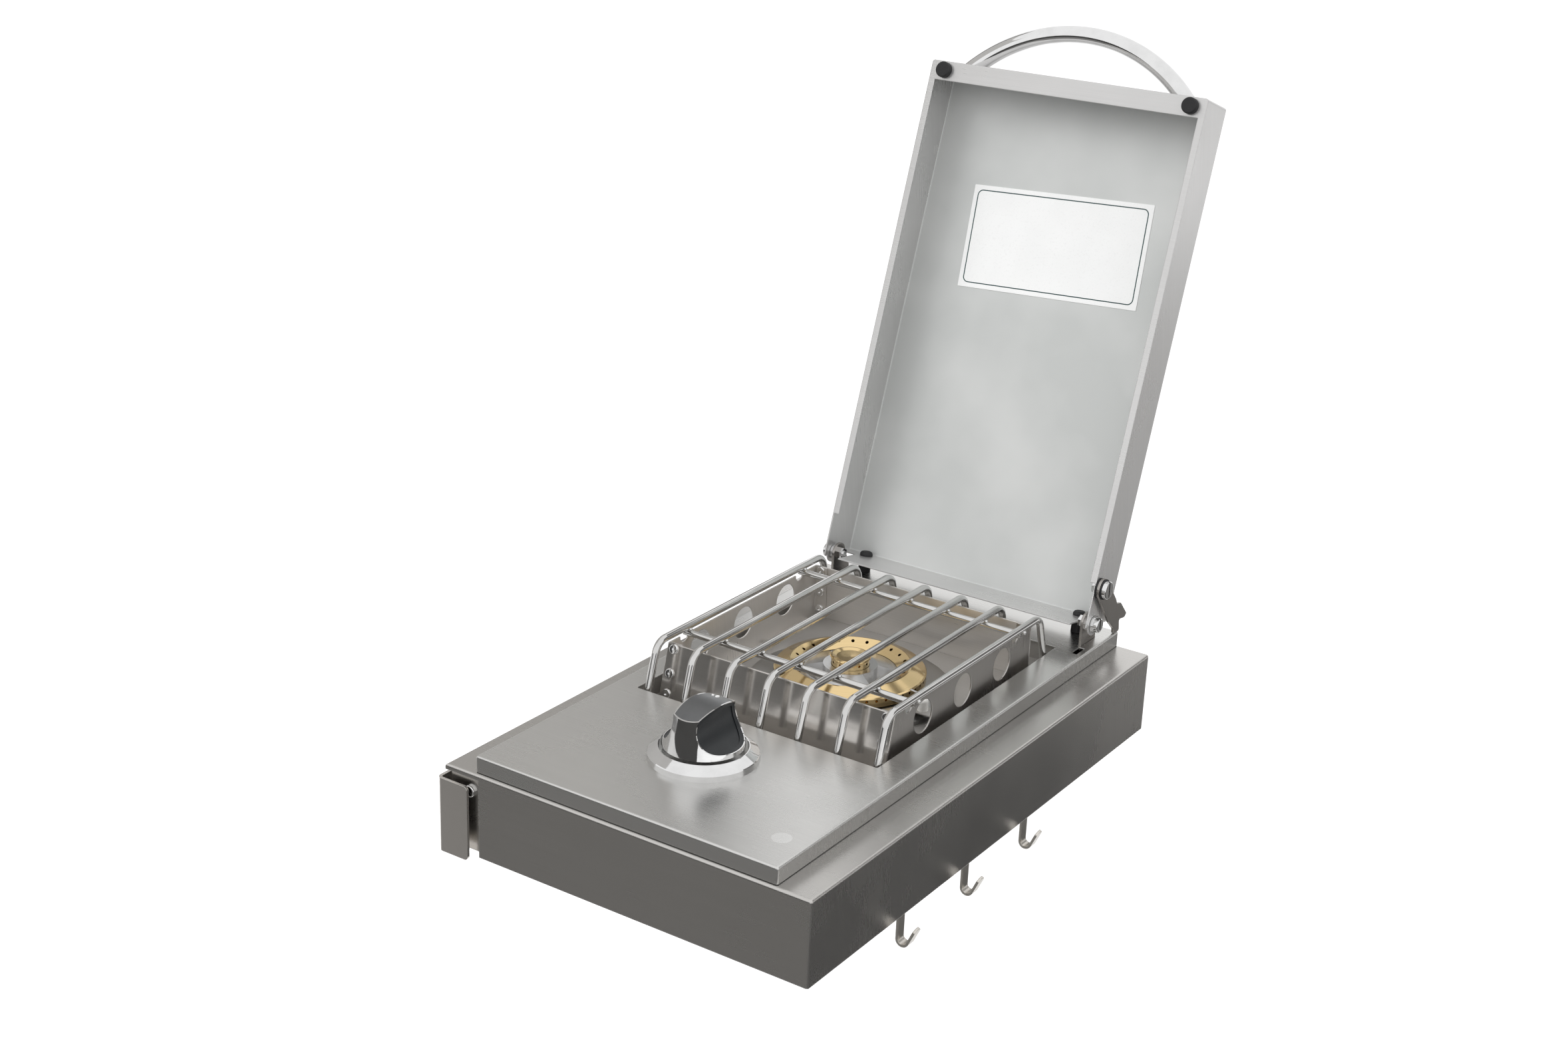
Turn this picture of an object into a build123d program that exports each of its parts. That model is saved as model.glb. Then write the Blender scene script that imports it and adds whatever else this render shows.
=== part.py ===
"""Side burner with a hinged lid, for the right-hand wall of a grill cabinet.

Millimetres, +Z up, +X away from the cabinet, +Y to the rear. X = 0 is the cabinet wall, Y = 0 the
middle of the shelf's depth, and Z = 0 the height of the mounting hole pattern's centre. The lid is
modelled open, leaning against its stops.
"""

import math
import os

from build123d import *

# Sheet metal and fits
SHEET = 1.0
SHEET_BEND_R = 2.0
PLATE = 2.0
RUN_FIT = 0.05
MOVE_GAP = 0.3

# Shelf tray
WALL_GAP = 8.0
SHELF_W = 286.0
SHELF_D = 450.0
SHELF_H = 60.0
SHELF_TOP = 39.0
SHELF_RETURN = 11.0
RECESS_W = 28.0
RECESS_DEPTH = 6.0
RECESS_LIP = 4.0

# Mount brackets and hole pattern
BRACKET_FRONT_W = 26.0
BRACKET_SIDE_D = 72.0
BRACKET_H = 54.0
BRACKET_BOTTOM = -27.0
BRACKET_BEND_R = 4.0
MOUNT_HOLE_R = 3.3
MOUNT_Y = 180.0
MOUNT_Z = 13.0
MOUNT_ACCESS_R = 8.0
SPACER_R = 6.0
SPACER_Y = (207.0, 163.0)
SPACER_SCREW_R = 2.5
CORNER_SCREW_X = 24.5
CORNER_SCREW_Z = 22.0

# Deck
CENTRE_X = 150.0
WELL_X = 147.5
DECK_W = 236.0
DECK_FRONT = -222.5
DECK_REAR = 224.0
DECK_H = 12.0
DECK_EDGE_R = 1.5
DECK_FLANGE = 13.0
DECK_SCREW_X = 95.0
CUT_HALF_W = 97.9
CUT_FRONT = -76.4
CUT_REAR = 168.7
CUT_CORNER_R = 1.5

# Burner well
PAN_MARGIN = 1.5
PAN_FLANGE = 7.0
PAN_DEPTH = 15.0
PAN_CORNER_R = 5.0
GUARD_SIDE_GAP = 5.5
GUARD_HALF_W = CUT_HALF_W - GUARD_SIDE_GAP
GUARD_TOP = 76.9
GUARD_FRONT_TOP = -48.2
GUARD_FRONT_SPLAY = 10.8
GUARD_REAR_TOP = 137.0
GUARD_REAR_SPLAY = 0.4
GUARD_CORNER_FLANGE = 11.0
GUARD_FOOT = 10.0
GUARD_HOLE_R = 12.0
GUARD_HOLES_Y = (-11.6, 41.2, 95.2)
GUARD_HOLE_Z = 61.8
GUARD_RIVETS_Z = (42.4, 56.6, 73.4)
RIVET_R = 1.6
RIVET_HEAD_R = 3.6
RIVET_INSET = 5.6
GUARD_SCREW_Y = (14.8, 68.2)

# Grate
GRATE_X = 148.6
BAR_COUNT = 7
BAR_OUTSIDE = 0.9
BAR_PITCH = 2 * (GUARD_HALF_W + BAR_OUTSIDE) / (BAR_COUNT - 1)
BAR_R = 2.75
BAR_Z = 81.6
BAR_FRONT = -60.8
BAR_REAR = 144.5
BAR_SPREAD = 9.0
BAR_SPREAD_H = 29.5
BAR_BEND_R = 11.0
BAR_FOOT_Z = 46.0
ROD_R = 2.5
ROD_FRONT = -26.0
ROD_REAR = 118.0
ROD_WELD = 0.5
ROD_OVERHANG = 2.5
WELD_R = 1.6
NOTCH_R = 4.6
NOTCH_DEPTH = 5.2
NOTCH_AHEAD = 5.2

# Burner
BURNER_Y = 43.0
BASE_GAP = 19.4
BASE_R = GUARD_HALF_W - BASE_GAP
BASE_PLATE = 3.0
RING_R = 54.2
RING_EDGE_Z = 52.3
RING_SKIRT_H = 7.0
RING_RIDGE_R = 42.7
RING_TOP = 56.6
RING_INNER_R = 33.5
RING_INNER_Z = 51.0
RING_WALL = 3.0
RING_PORTS = 48
RING_PORT_R = 1.0
RING_PORT_H = 4.7
RING_HOLES = 24
RING_HOLE_CIRCLE_R = 39.6
COLLAR_R = 19.3
COLLAR_TOP = 54.8
SPOKES = 3
SPOKE_TURN = 180.0
POCKET_ANGLE = 62.0
CAP_R = 14.4
CAP_BODY_R = 13.6
CAP_SPIGOT_R = 12.1
CAP_LEDGE = 1.2
CAP_TOP = 61.5
CAP_PORTS = 12
TUBE_R = 11.0
TUBE_WALL = 1.2
TUBE_Z = 12.0
TUBE_INLET_Y = -84.0
SHUTTER_LEN = 16.0

# Knob, bezel and valve
KNOB_Y = -132.5
KNOB_R = 27.4
KNOB_TAPER = 0.2
KNOB_BOTTOM = 60.6
KNOB_TOP = 90.0
KNOB_DOME_R = 52.0
KNOB_PUSH = 3.0
SCOOP_R = 17.8
SCOOP_X = 27.1
SCOOP_RISE = 20.4
KNOB_RIM = 0.8
GRIP_THICK = 1.2
GRIP_BAND = 2.6
BEZEL_R = 37.2
BEZEL_IN_R = 29.4
BEZEL_EDGE_H = 4.3
BEZEL_H = 8.6
BEZEL_SCREW_X = 33.2
STEM_R = 4.0
STEM_FLAT = 1.2
STEM_BOTTOM = 24.0
STEM_IN_KNOB = 15.0
STEM_TOP = KNOB_BOTTOM + STEM_IN_KNOB
VALVE_R = 14.0
VALVE_BOTTOM = 0.0
VALVE_TOP = 31.0
NECK_R = 11.5
NECK_TOP = 46.0
COLLAR_HALF = 7.0
COLLAR_H = 4.0
COLLAR_Z = 40.0
HAT_HALF_W = 22.0
HAT_HALF_D = 24.0
HAT_FLANGE = 17.0
HAT_FLOOR = 31.0
PIPE_R = 5.0
PIPE_Z = 10.0

# Lid, in its own frame: the hinge axis at the origin, closed, front to -Y
HINGE_Y = 188.55
HINGE_Z = 67.4
OPEN_ANGLE = 108.58
LID_SIDE_INSET = 4.3
LID_HALF_W = DECK_W / 2 - LID_SIDE_INSET
LID_DEPTH = 37.0
LID_RIM = -11.5
LID_FRONT = 384.3
LID_REAR_TOP = 1.6
LID_REAR_RIM = 4.0
LID_EDGE_R = 2.0
LID_FRONT_FLANGE = 14.5
LID_SIDE_HEM = 5.0
LID_LUG_R = 8.5
LID_NOTCH_X = LID_HALF_W - 13.2
LID_NOTCH_TOP = 14.5
BUMPER_R = 6.0
BUMPER_FRONT_X = LID_HALF_W - 12.1
BUMPER_FRONT_S = 377.4
BUMPER_REAR_X = LID_HALF_W - 20.2
BUMPER_REAR_D = 30.0
BUMPER_REAR_R = 4.8
BUMPER_HEAD_R = 5.0
BUMPER_HEAD_H = 3.4
HANDLE_R = 6.5
HANDLE_WALL = 1.2
HANDLE_ARC_R = 127.0
HANDLE_APEX = 419.7
HANDLE_D = 18.0
PLUG_LEN = 14.0

# Hinge hardware
EAR_INSET = 4.7
EAR_X = LID_HALF_W - EAR_INSET
EAR_R = 8.0
EAR_FRONT = 8.0
EAR_REAR = 14.5
EAR_FOOT = 12.0
SHOULDER_R = 3.0
THREAD_R = 2.5
BOLT_HEAD_R = 5.4
BOLT_HEAD_H = 4.2
WASHER_R = 6.6
WASHER_T = 1.0
NUT_AF = 8.0
NUT_H = 4.0
SLOT_W = 1.4
SLOT_DEPTH = 1.6

# Stay plate on the right-hand lid wall, in the open position
STAY_HEAD_Y = 3.95
STAY_HEAD_UP = 43.6
STAY_HEAD_R = 8.0
STAY_SPACE = 2.0
STAY_BOLT_R = 6.7
STAY_BOLT_H = 3.4

# Tool hooks
HOOKS_Y = (-116.0, -35.0, 45.0)
HOOK_W = 7.5
HOOK_T = 1.8
HOOK_BEND_R = 3.1
HOOK_TOP = -4.0
HOOK_BOTTOM = -42.2
HOOK_TIP = 13.0
HOOK_TIP_ANGLE = 66.0
HOOK_CORNER = 2.2

SHELF_X0 = WALL_GAP
SHELF_X1 = WALL_GAP + SHELF_W
SHELF_Y = SHELF_D / 2
SHELF_BOTTOM = SHELF_TOP - SHELF_H
DECK_X0 = CENTRE_X - DECK_W / 2
DECK_X1 = CENTRE_X + DECK_W / 2
DECK_TOP = SHELF_TOP + DECK_H
PAN_FLOOR = DECK_TOP - PAN_DEPTH


def block(x0, x1, y0, y1, z0, z1):
    """A box between two corners."""
    return Pos((x0 + x1) / 2, (y0 + y1) / 2, (z0 + z1) / 2) * Box(x1 - x0, y1 - y0, z1 - z0)


def rod(start, axis, radius, length):
    """A cylinder that starts at a point and runs along an axis."""
    plane = Plane(origin=start, z_dir=axis)
    return extrude(plane * Circle(radius), length)


def hexagon(start, axis, across, length):
    """A hexagonal prism, across the flats, that starts at a point."""
    plane = Plane(origin=start, z_dir=axis)
    return extrude(plane * RegularPolygon(across / math.sqrt(3), 6), length)


def turned(points, x, y):
    """A body turned about a vertical axis, from (radius, height) points."""
    face = make_face(Polyline([(r, 0, z) for r, z in points], close=True))
    return Pos(x, y, 0) * revolve(face, Axis.Z, 360)


def slab(points, x0, x1):
    """A profile in the YZ plane, extruded along X."""
    face = make_face(Polyline([(x0, y, z) for y, z in points], close=True))
    return extrude(face, x1 - x0, dir=(1, 0, 0))


def mirrored(shape, middle=CENTRE_X):
    """The shape reflected left to right about the middle line."""
    return mirror(shape, about=Plane(origin=(middle, 0, 0), z_dir=(1, 0, 0)))


def front_to_back(shape):
    """The shape reflected front to back about the shelf's middle."""
    return mirror(shape, about=Plane.XZ)


def group(shapes):
    """Separate like pieces in one node."""
    solids = []
    for shape in shapes:
        solids.extend(shape.solids())
    return Compound(children=solids)


def in_lid(shape):
    """Takes a shape from the closed lid's frame to the open position."""
    return Location((CENTRE_X, HINGE_Y, HINGE_Z)) * Rotation(-OPEN_ANGLE, 0, 0) * shape


# Shelf: top, four walls and bottom returns, with the front and rear left corners stepped in
outline = Polyline(
    (SHELF_X0, -SHELF_Y + RECESS_DEPTH),
    (SHELF_X0 + RECESS_W, -SHELF_Y + RECESS_DEPTH),
    (SHELF_X0 + RECESS_W, -SHELF_Y),
    (SHELF_X1, -SHELF_Y),
    (SHELF_X1, SHELF_Y),
    (SHELF_X0 + RECESS_W, SHELF_Y),
    (SHELF_X0 + RECESS_W, SHELF_Y - RECESS_DEPTH),
    (SHELF_X0, SHELF_Y - RECESS_DEPTH),
    close=True,
)
plan = make_face(outline)
inside = offset(plan, amount=-SHEET)
mouth = offset(plan, amount=-SHEET - SHELF_RETURN)
shelf = Pos(0, 0, SHELF_BOTTOM) * extrude(plan, SHELF_H - RECESS_LIP)
lid_of_shelf = block(SHELF_X0, SHELF_X1, -SHELF_Y, SHELF_Y, SHELF_TOP - RECESS_LIP, SHELF_TOP)
shelf += lid_of_shelf
bend_edges = [e for e in shelf.edges() if abs(e.center().Z - SHELF_TOP) < 0.01]
bend_edges += [e for e in shelf.edges().filter_by(Axis.Z) if abs(e.center().X - SHELF_X1) < 0.01]
shelf = fillet(bend_edges, SHEET_BEND_R)
shelf -= Pos(0, 0, SHELF_BOTTOM + SHEET) * extrude(inside, SHELF_H - 2 * SHEET)
lip_room = block(
    SHELF_X0 + SHEET,
    SHELF_X0 + RECESS_W + SHEET,
    -SHELF_Y + SHEET,
    SHELF_Y - SHEET,
    SHELF_TOP - RECESS_LIP + SHEET,
    SHELF_TOP - SHEET,
)
shelf -= lip_room
shelf -= Pos(0, 0, SHELF_BOTTOM - SHEET) * extrude(mouth, 3 * SHEET)
WELL_CLEAR = 4.0
well_x = CUT_HALF_W + PAN_MARGIN + SHEET + WELL_CLEAR
shelf -= block(
    WELL_X - well_x,
    WELL_X + well_x,
    CUT_FRONT - PAN_MARGIN - SHEET - WELL_CLEAR,
    CUT_REAR + PAN_MARGIN + SHEET + WELL_CLEAR,
    SHELF_TOP - 2 * SHEET,
    SHELF_TOP + SHEET,
)
VALVE_ROOM = 4.0
hat_reach = HAT_HALF_W + HAT_FLANGE + VALVE_ROOM
shelf -= block(
    WELL_X - hat_reach,
    WELL_X + hat_reach,
    KNOB_Y - HAT_HALF_D - VALVE_ROOM,
    KNOB_Y + HAT_HALF_D + VALVE_ROOM,
    SHELF_TOP - 2 * SHEET,
    SHELF_TOP + SHEET,
)
deck_screw_points = []
for deck_screw_y in (DECK_FRONT + DECK_FLANGE / 2 + SHEET, DECK_REAR - DECK_FLANGE / 2 - SHEET):
    for side in (-1, 1):
        deck_screw_points.append((CENTRE_X + side * DECK_SCREW_X, deck_screw_y))
DECK_SCREW_R = 2.0
for x, y in deck_screw_points:
    shelf -= rod((x, y, SHELF_TOP - 2 * SHEET), (0, 0, 1), DECK_SCREW_R, 3 * SHEET)
for end in (-1, 1):
    for y in SPACER_Y:
        shelf -= rod((SHELF_X0 - SHEET, end * y, 0), (1, 0, 0), SPACER_SCREW_R, 3 * SHEET)
    for up in (-1, 1):
        spot = (SHELF_X0 - SHEET, end * MOUNT_Y, up * MOUNT_Z)
        shelf -= rod(spot, (1, 0, 0), MOUNT_ACCESS_R, 3 * SHEET)
CORNER_SCREW_R = 2.0
recess_face = SHELF_Y - RECESS_DEPTH
for end in (-1, 1):
    start = (CORNER_SCREW_X, end * recess_face - 2 * SHEET, CORNER_SCREW_Z)
    shelf -= rod(start, (0, 1, 0), CORNER_SCREW_R, 4 * SHEET)
PIPE_HOLE_R = 9.0
shelf -= rod((SHELF_X0 - SHEET, KNOB_Y, PIPE_Z), (1, 0, 0), PIPE_HOLE_R, 3 * SHEET)
for y in HOOKS_Y:
    hook_x = SHELF_X1 - SHEET - HOOK_T
    shelf -= block(
        hook_x - MOVE_GAP,
        SHELF_X1 - SHEET,
        y - HOOK_W / 2 - MOVE_GAP,
        y + HOOK_W / 2 + MOVE_GAP,
        SHELF_BOTTOM - SHEET,
        SHELF_BOTTOM + SHEET,
    )

# Mount brackets: a bent strip with a front plate and a side flange
bracket_x0 = 0.0
front_plate_y = -SHELF_Y
bracket_path = Polyline(
    (bracket_x0, front_plate_y + BRACKET_SIDE_D),
    (bracket_x0, front_plate_y),
    (bracket_x0 + BRACKET_FRONT_W, front_plate_y),
    (bracket_x0 + BRACKET_FRONT_W, front_plate_y + PLATE),
    (bracket_x0 + PLATE, front_plate_y + PLATE),
    (bracket_x0 + PLATE, front_plate_y + BRACKET_SIDE_D),
    close=True,
)
bracket = Pos(0, 0, BRACKET_BOTTOM) * extrude(make_face(bracket_path), BRACKET_H)
bend_out = [
    e
    for e in bracket.edges().filter_by(Axis.Z)
    if abs(e.center().X - bracket_x0) < 0.01 and abs(e.center().Y - front_plate_y) < 0.01
]
bracket = fillet(bend_out, BRACKET_BEND_R)
bend_in = [
    e
    for e in bracket.edges().filter_by(Axis.Z)
    if abs(e.center().X - bracket_x0 - PLATE) < 0.01
    and abs(e.center().Y - front_plate_y - PLATE) < 0.01
]
bracket = fillet(bend_in, BRACKET_BEND_R - PLATE)
BRACKET_CORNER_R = 3.0
front_corners = [
    e
    for e in bracket.edges().filter_by(Axis.Y)
    if abs(e.center().X - bracket_x0 - BRACKET_FRONT_W) < 0.01
]
bracket = fillet(front_corners, BRACKET_CORNER_R)
for up in (-1, 1):
    spot = (bracket_x0 - PLATE, -MOUNT_Y, up * MOUNT_Z)
    bracket -= rod(spot, (1, 0, 0), MOUNT_HOLE_R, 3 * PLATE)
for y in SPACER_Y:
    bracket -= rod((bracket_x0 - PLATE, -y, 0), (1, 0, 0), SPACER_SCREW_R, 3 * PLATE)

spacers = []
bracket_screws = []
corner_screws = []
SCREW_HEAD_R = 4.2
SCREW_HEAD_H = 2.4
for y in SPACER_Y:
    spacer = rod((bracket_x0 + PLATE, -y, 0), (1, 0, 0), SPACER_R, SHELF_X0 - PLATE)
    spacer -= rod((bracket_x0, -y, 0), (1, 0, 0), SPACER_SCREW_R, SHELF_X0 + PLATE)
    screw = rod((bracket_x0, -y, 0), (1, 0, 0), SPACER_SCREW_R, SHELF_X0 + SHEET)
    screw += rod((SHELF_X0 + SHEET, -y, 0), (1, 0, 0), SCREW_HEAD_R, SCREW_HEAD_H)
    spacers += [spacer, front_to_back(spacer)]
    bracket_screws += [screw, front_to_back(screw)]
CORNER_SCREW_LEN = 8.0
corner_screw = rod((CORNER_SCREW_X, -recess_face, CORNER_SCREW_Z), (0, 1, 0), CORNER_SCREW_R, CORNER_SCREW_LEN)
corner_head = rod((CORNER_SCREW_X, -recess_face, CORNER_SCREW_Z), (0, -1, 0), SCREW_HEAD_R, SCREW_HEAD_H)
dome = [e for e in corner_head.edges() if abs(e.center().Y + recess_face + SCREW_HEAD_H) < 0.01]
corner_screw += fillet(dome, SCREW_HEAD_H / 2)
corner_screws = [corner_screw, front_to_back(corner_screw)]

# Deck: an inverted tray with the burner cut-out, knob hole, ear slots and front and rear flanges
deck = block(DECK_X0, DECK_X1, DECK_FRONT, DECK_REAR, SHELF_TOP, DECK_TOP)
deck_round = [e for e in deck.edges() if e.center().Z > SHELF_TOP + 1]
deck = fillet(deck_round, DECK_EDGE_R)
deck -= block(
    DECK_X0 + SHEET,
    DECK_X1 - SHEET,
    DECK_FRONT + SHEET,
    DECK_REAR - SHEET,
    SHELF_TOP - SHEET,
    DECK_TOP - SHEET,
)
FLANGE_END = 10.0
for y0, y1 in (
    (DECK_FRONT + SHEET, DECK_FRONT + SHEET + DECK_FLANGE),
    (DECK_REAR - SHEET - DECK_FLANGE, DECK_REAR - SHEET),
):
    deck += block(DECK_X0 + FLANGE_END, DECK_X1 - FLANGE_END, y0, y1, SHELF_TOP, SHELF_TOP + SHEET)
cut = Pos(WELL_X, (CUT_FRONT + CUT_REAR) / 2, DECK_TOP - 2 * SHEET) * extrude(
    RectangleRounded(2 * CUT_HALF_W, CUT_REAR - CUT_FRONT, CUT_CORNER_R), 3 * SHEET
)
deck -= cut
STEM_HOLE_R = 9.5
deck -= rod((WELL_X, KNOB_Y, DECK_TOP - 2 * SHEET), (0, 0, 1), STEM_HOLE_R, 3 * SHEET)
BEZEL_SCREW_R = 1.8
for side in (-1, 1):
    spot = (WELL_X + side * BEZEL_SCREW_X, KNOB_Y, DECK_TOP - 2 * SHEET)
    deck -= rod(spot, (0, 0, 1), BEZEL_SCREW_R, 3 * SHEET)
for x, y in deck_screw_points:
    deck -= rod((x, y, SHELF_TOP - SHEET), (0, 0, 1), DECK_SCREW_R, 3 * SHEET)
SLOT_FIT = 0.2
ear_slot = block(
    CENTRE_X + EAR_X - PLATE - SLOT_FIT,
    CENTRE_X + EAR_X + SLOT_FIT,
    HINGE_Y - EAR_FRONT - SLOT_FIT,
    HINGE_Y + EAR_REAR + SLOT_FIT,
    DECK_TOP - 2 * SHEET,
    DECK_TOP + SHEET,
)
VENT_SLOT_W = 4.2
VENT_SLOT_Y0 = 166.3
VENT_SLOT_Y1 = 178.5
vent_slot = block(
    CENTRE_X + EAR_X,
    CENTRE_X + EAR_X + VENT_SLOT_W,
    VENT_SLOT_Y0,
    VENT_SLOT_Y1,
    DECK_TOP - 2 * SHEET,
    DECK_TOP + SHEET,
)
deck -= ear_slot
deck -= mirrored(ear_slot)
deck -= vent_slot
deck -= mirrored(vent_slot)

DECK_SCREW_HEAD_R = 3.6
DECK_SCREW_HEAD_H = 2.2
DECK_SCREW_TIP = 4.0
deck_screws = []
for x, y in deck_screw_points:
    screw = rod((x, y, SHELF_TOP - SHEET), (0, 0, 1), DECK_SCREW_R, SHEET + DECK_SCREW_TIP)
    screw += rod((x, y, SHELF_TOP - SHEET), (0, 0, -1), DECK_SCREW_HEAD_R, DECK_SCREW_HEAD_H)
    deck_screws.append(screw)

# Burner pan: a flanged tray that hangs under the cut-out
pan_x = CUT_HALF_W + PAN_MARGIN + SHEET
pan_y0 = CUT_FRONT - PAN_MARGIN - SHEET
pan_y1 = CUT_REAR + PAN_MARGIN + SHEET
under_deck = DECK_TOP - SHEET
PAN_HOLE_R = 30.0
pan = block(WELL_X - pan_x, WELL_X + pan_x, pan_y0, pan_y1, PAN_FLOOR - SHEET, under_deck)
pan = fillet(pan.edges().filter_by(Axis.Z), PAN_CORNER_R)
pan_rim = block(
    WELL_X - pan_x - PAN_FLANGE,
    WELL_X + pan_x + PAN_FLANGE,
    pan_y0 - PAN_FLANGE,
    pan_y1 + PAN_FLANGE,
    under_deck - SHEET,
    under_deck,
)
pan += pan_rim
hollow = block(
    WELL_X - pan_x + SHEET,
    WELL_X + pan_x - SHEET,
    pan_y0 + SHEET,
    pan_y1 - SHEET,
    PAN_FLOOR,
    under_deck + SHEET,
)
pan -= fillet(hollow.edges().filter_by(Axis.Z), PAN_CORNER_R - SHEET)
pan -= rod((WELL_X, BURNER_Y, PAN_FLOOR - 2 * SHEET), (0, 0, 1), PAN_HOLE_R, 3 * SHEET)
EAR_FOOT_ROOM = 0.5
foot_room = block(
    CENTRE_X + EAR_X - PLATE - EAR_FOOT - EAR_FOOT_ROOM,
    CENTRE_X + EAR_X + PLATE,
    HINGE_Y - EAR_FRONT - EAR_FOOT_ROOM,
    HINGE_Y + EAR_REAR + PLATE,
    under_deck - 2 * SHEET,
    under_deck + SHEET,
)
pan -= foot_room
pan -= mirrored(foot_room)
vent_room = block(
    CENTRE_X + EAR_X - SHEET,
    CENTRE_X + EAR_X + VENT_SLOT_W,
    VENT_SLOT_Y0 - SHEET,
    VENT_SLOT_Y1 + SHEET,
    under_deck - 2 * SHEET,
    under_deck + SHEET,
)
pan -= vent_room
pan -= mirrored(vent_room)

# Wind guard: leaning front and rear walls over the side walls' corner flanges
guard_h = GUARD_TOP - PAN_FLOOR
front_low = GUARD_FRONT_TOP - GUARD_FRONT_SPLAY
rear_low = GUARD_REAR_TOP + GUARD_REAR_SPLAY


def level_thickness(splay):
    """The sheet's thickness measured along Y on a wall that leans by a splay."""
    return SHEET * math.hypot(guard_h, splay) / guard_h


def leaning(low, high, layer, inwards, x0, x1):
    """A leaning sheet, some layers inside the wall's outer face, between two X positions."""
    step = inwards * level_thickness(high - low)
    points = [
        (low + layer * step, PAN_FLOOR),
        (high + layer * step, GUARD_TOP),
        (high + (layer + 1) * step, GUARD_TOP),
        (low + (layer + 1) * step, PAN_FLOOR),
    ]
    return slab(points, x0, x1)


left_x = WELL_X - GUARD_HALF_W
right_x = WELL_X + GUARD_HALF_W
flange_x = right_x - GUARD_CORNER_FLANGE
front_step = level_thickness(GUARD_FRONT_SPLAY)
rear_step = level_thickness(GUARD_REAR_SPLAY)
guard_front = leaning(front_low, GUARD_FRONT_TOP, 0, 1, left_x, right_x)
guard_rear = leaning(rear_low, GUARD_REAR_TOP, 0, -1, left_x, right_x)
side_points = [
    (front_low + front_step, PAN_FLOOR),
    (GUARD_FRONT_TOP + front_step, GUARD_TOP),
    (GUARD_REAR_TOP - rear_step, GUARD_TOP),
    (rear_low - rear_step, PAN_FLOOR),
]
guard_right = slab(side_points, right_x - SHEET, right_x)
guard_right += leaning(front_low, GUARD_FRONT_TOP, 1, 1, flange_x, right_x)
guard_right += leaning(rear_low, GUARD_REAR_TOP, 1, -1, flange_x, right_x)
guard_right += block(
    right_x - GUARD_FOOT,
    right_x,
    GUARD_FRONT_TOP + GUARD_CORNER_FLANGE,
    GUARD_REAR_TOP - GUARD_CORNER_FLANGE,
    PAN_FLOOR,
    PAN_FLOOR + SHEET,
)
for y in GUARD_HOLES_Y:
    guard_right -= rod((right_x - 3 * SHEET, y, GUARD_HOLE_Z), (1, 0, 0), GUARD_HOLE_R, 6 * SHEET)
rod_z = BAR_Z - BAR_R - ROD_R + ROD_WELD
NOTCH_SEAT = 0.1
notch_z = GUARD_TOP - NOTCH_DEPTH + NOTCH_R
saddle_r = ROD_R + NOTCH_SEAT
for y in (ROD_FRONT, ROD_REAR):
    for y_cut, z_cut, r_cut in ((y - NOTCH_AHEAD, notch_z, NOTCH_R), (y, rod_z, saddle_r)):
        guard_right -= rod((right_x - 3 * SHEET, y_cut, z_cut), (1, 0, 0), r_cut, 6 * SHEET)
        guard_right -= block(
            right_x - 3 * SHEET, right_x + SHEET, y_cut - r_cut, y_cut + r_cut, z_cut, GUARD_TOP + SHEET
        )
GUARD_SCREW_R = 1.7
guard_screw_x = GUARD_HALF_W - GUARD_FOOT / 2 - SHEET / 2
for y in GUARD_SCREW_Y:
    spot = (WELL_X + guard_screw_x, y, PAN_FLOOR - 2 * SHEET)
    hole = rod(spot, (0, 0, 1), GUARD_SCREW_R, 4 * SHEET)
    guard_right -= hole
    pan -= hole
    pan -= mirrored(hole, WELL_X)

GUARD_SCREW_HEAD_R = 3.2
GUARD_SCREW_HEAD_H = 1.8
GUARD_SCREW_TIP = 5.0
guard_screws = []
for y in GUARD_SCREW_Y:
    spot = (WELL_X + guard_screw_x, y, PAN_FLOOR + SHEET)
    screw = rod(spot, (0, 0, -1), GUARD_SCREW_R, 2 * SHEET + GUARD_SCREW_TIP)
    screw += rod(spot, (0, 0, 1), GUARD_SCREW_HEAD_R, GUARD_SCREW_HEAD_H)
    guard_screws += [screw, mirrored(screw, WELL_X)]

RIVET_HEAD_H = 1.2
RIVET_TAIL_R = 2.4
RIVET_TAIL_H = 0.8
RIVET_PIN_R = 1.1
rivet_x = right_x - RIVET_INSET
front_in = Vector(0, guard_h, -GUARD_FRONT_SPLAY).normalized()
rear_out = Vector(0, guard_h, GUARD_REAR_SPLAY).normalized()
guard_rivets = []
for z in GUARD_RIVETS_Z:
    part_up = (z - PAN_FLOOR) / guard_h
    front_spot = Vector(rivet_x, front_low + GUARD_FRONT_SPLAY * part_up, z)
    rear_spot = Vector(rivet_x, rear_low - GUARD_REAR_SPLAY * part_up - 2 * rear_step, z)
    for spot, axis in ((front_spot, front_in), (rear_spot, rear_out)):
        head = rod(spot, (-axis), RIVET_HEAD_R, RIVET_HEAD_H)
        far = spot - axis * RIVET_HEAD_H
        rims = head.edges().filter_by(GeomType.CIRCLE)
        crown = [e for e in rims if (e.arc_center - far).length < 0.01]
        rivet = fillet(crown, RIVET_HEAD_H * 0.7)
        rivet += rod(spot, axis, RIVET_R, 2 * SHEET)
        tail = spot + axis * 2 * SHEET
        rivet += rod(tail, axis, RIVET_TAIL_R, RIVET_TAIL_H)
        rivet -= rod(far, axis, RIVET_PIN_R, RIVET_HEAD_H)
        hole = rod((spot - axis), axis, RIVET_R, 4 * SHEET)
        guard_right -= hole
        guard_front -= hole
        guard_front -= mirrored(hole, WELL_X)
        guard_rear -= hole
        guard_rear -= mirrored(hole, WELL_X)
        guard_rivets += [rivet, mirrored(rivet, WELL_X)]
guard_left = mirrored(guard_right, WELL_X)

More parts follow.
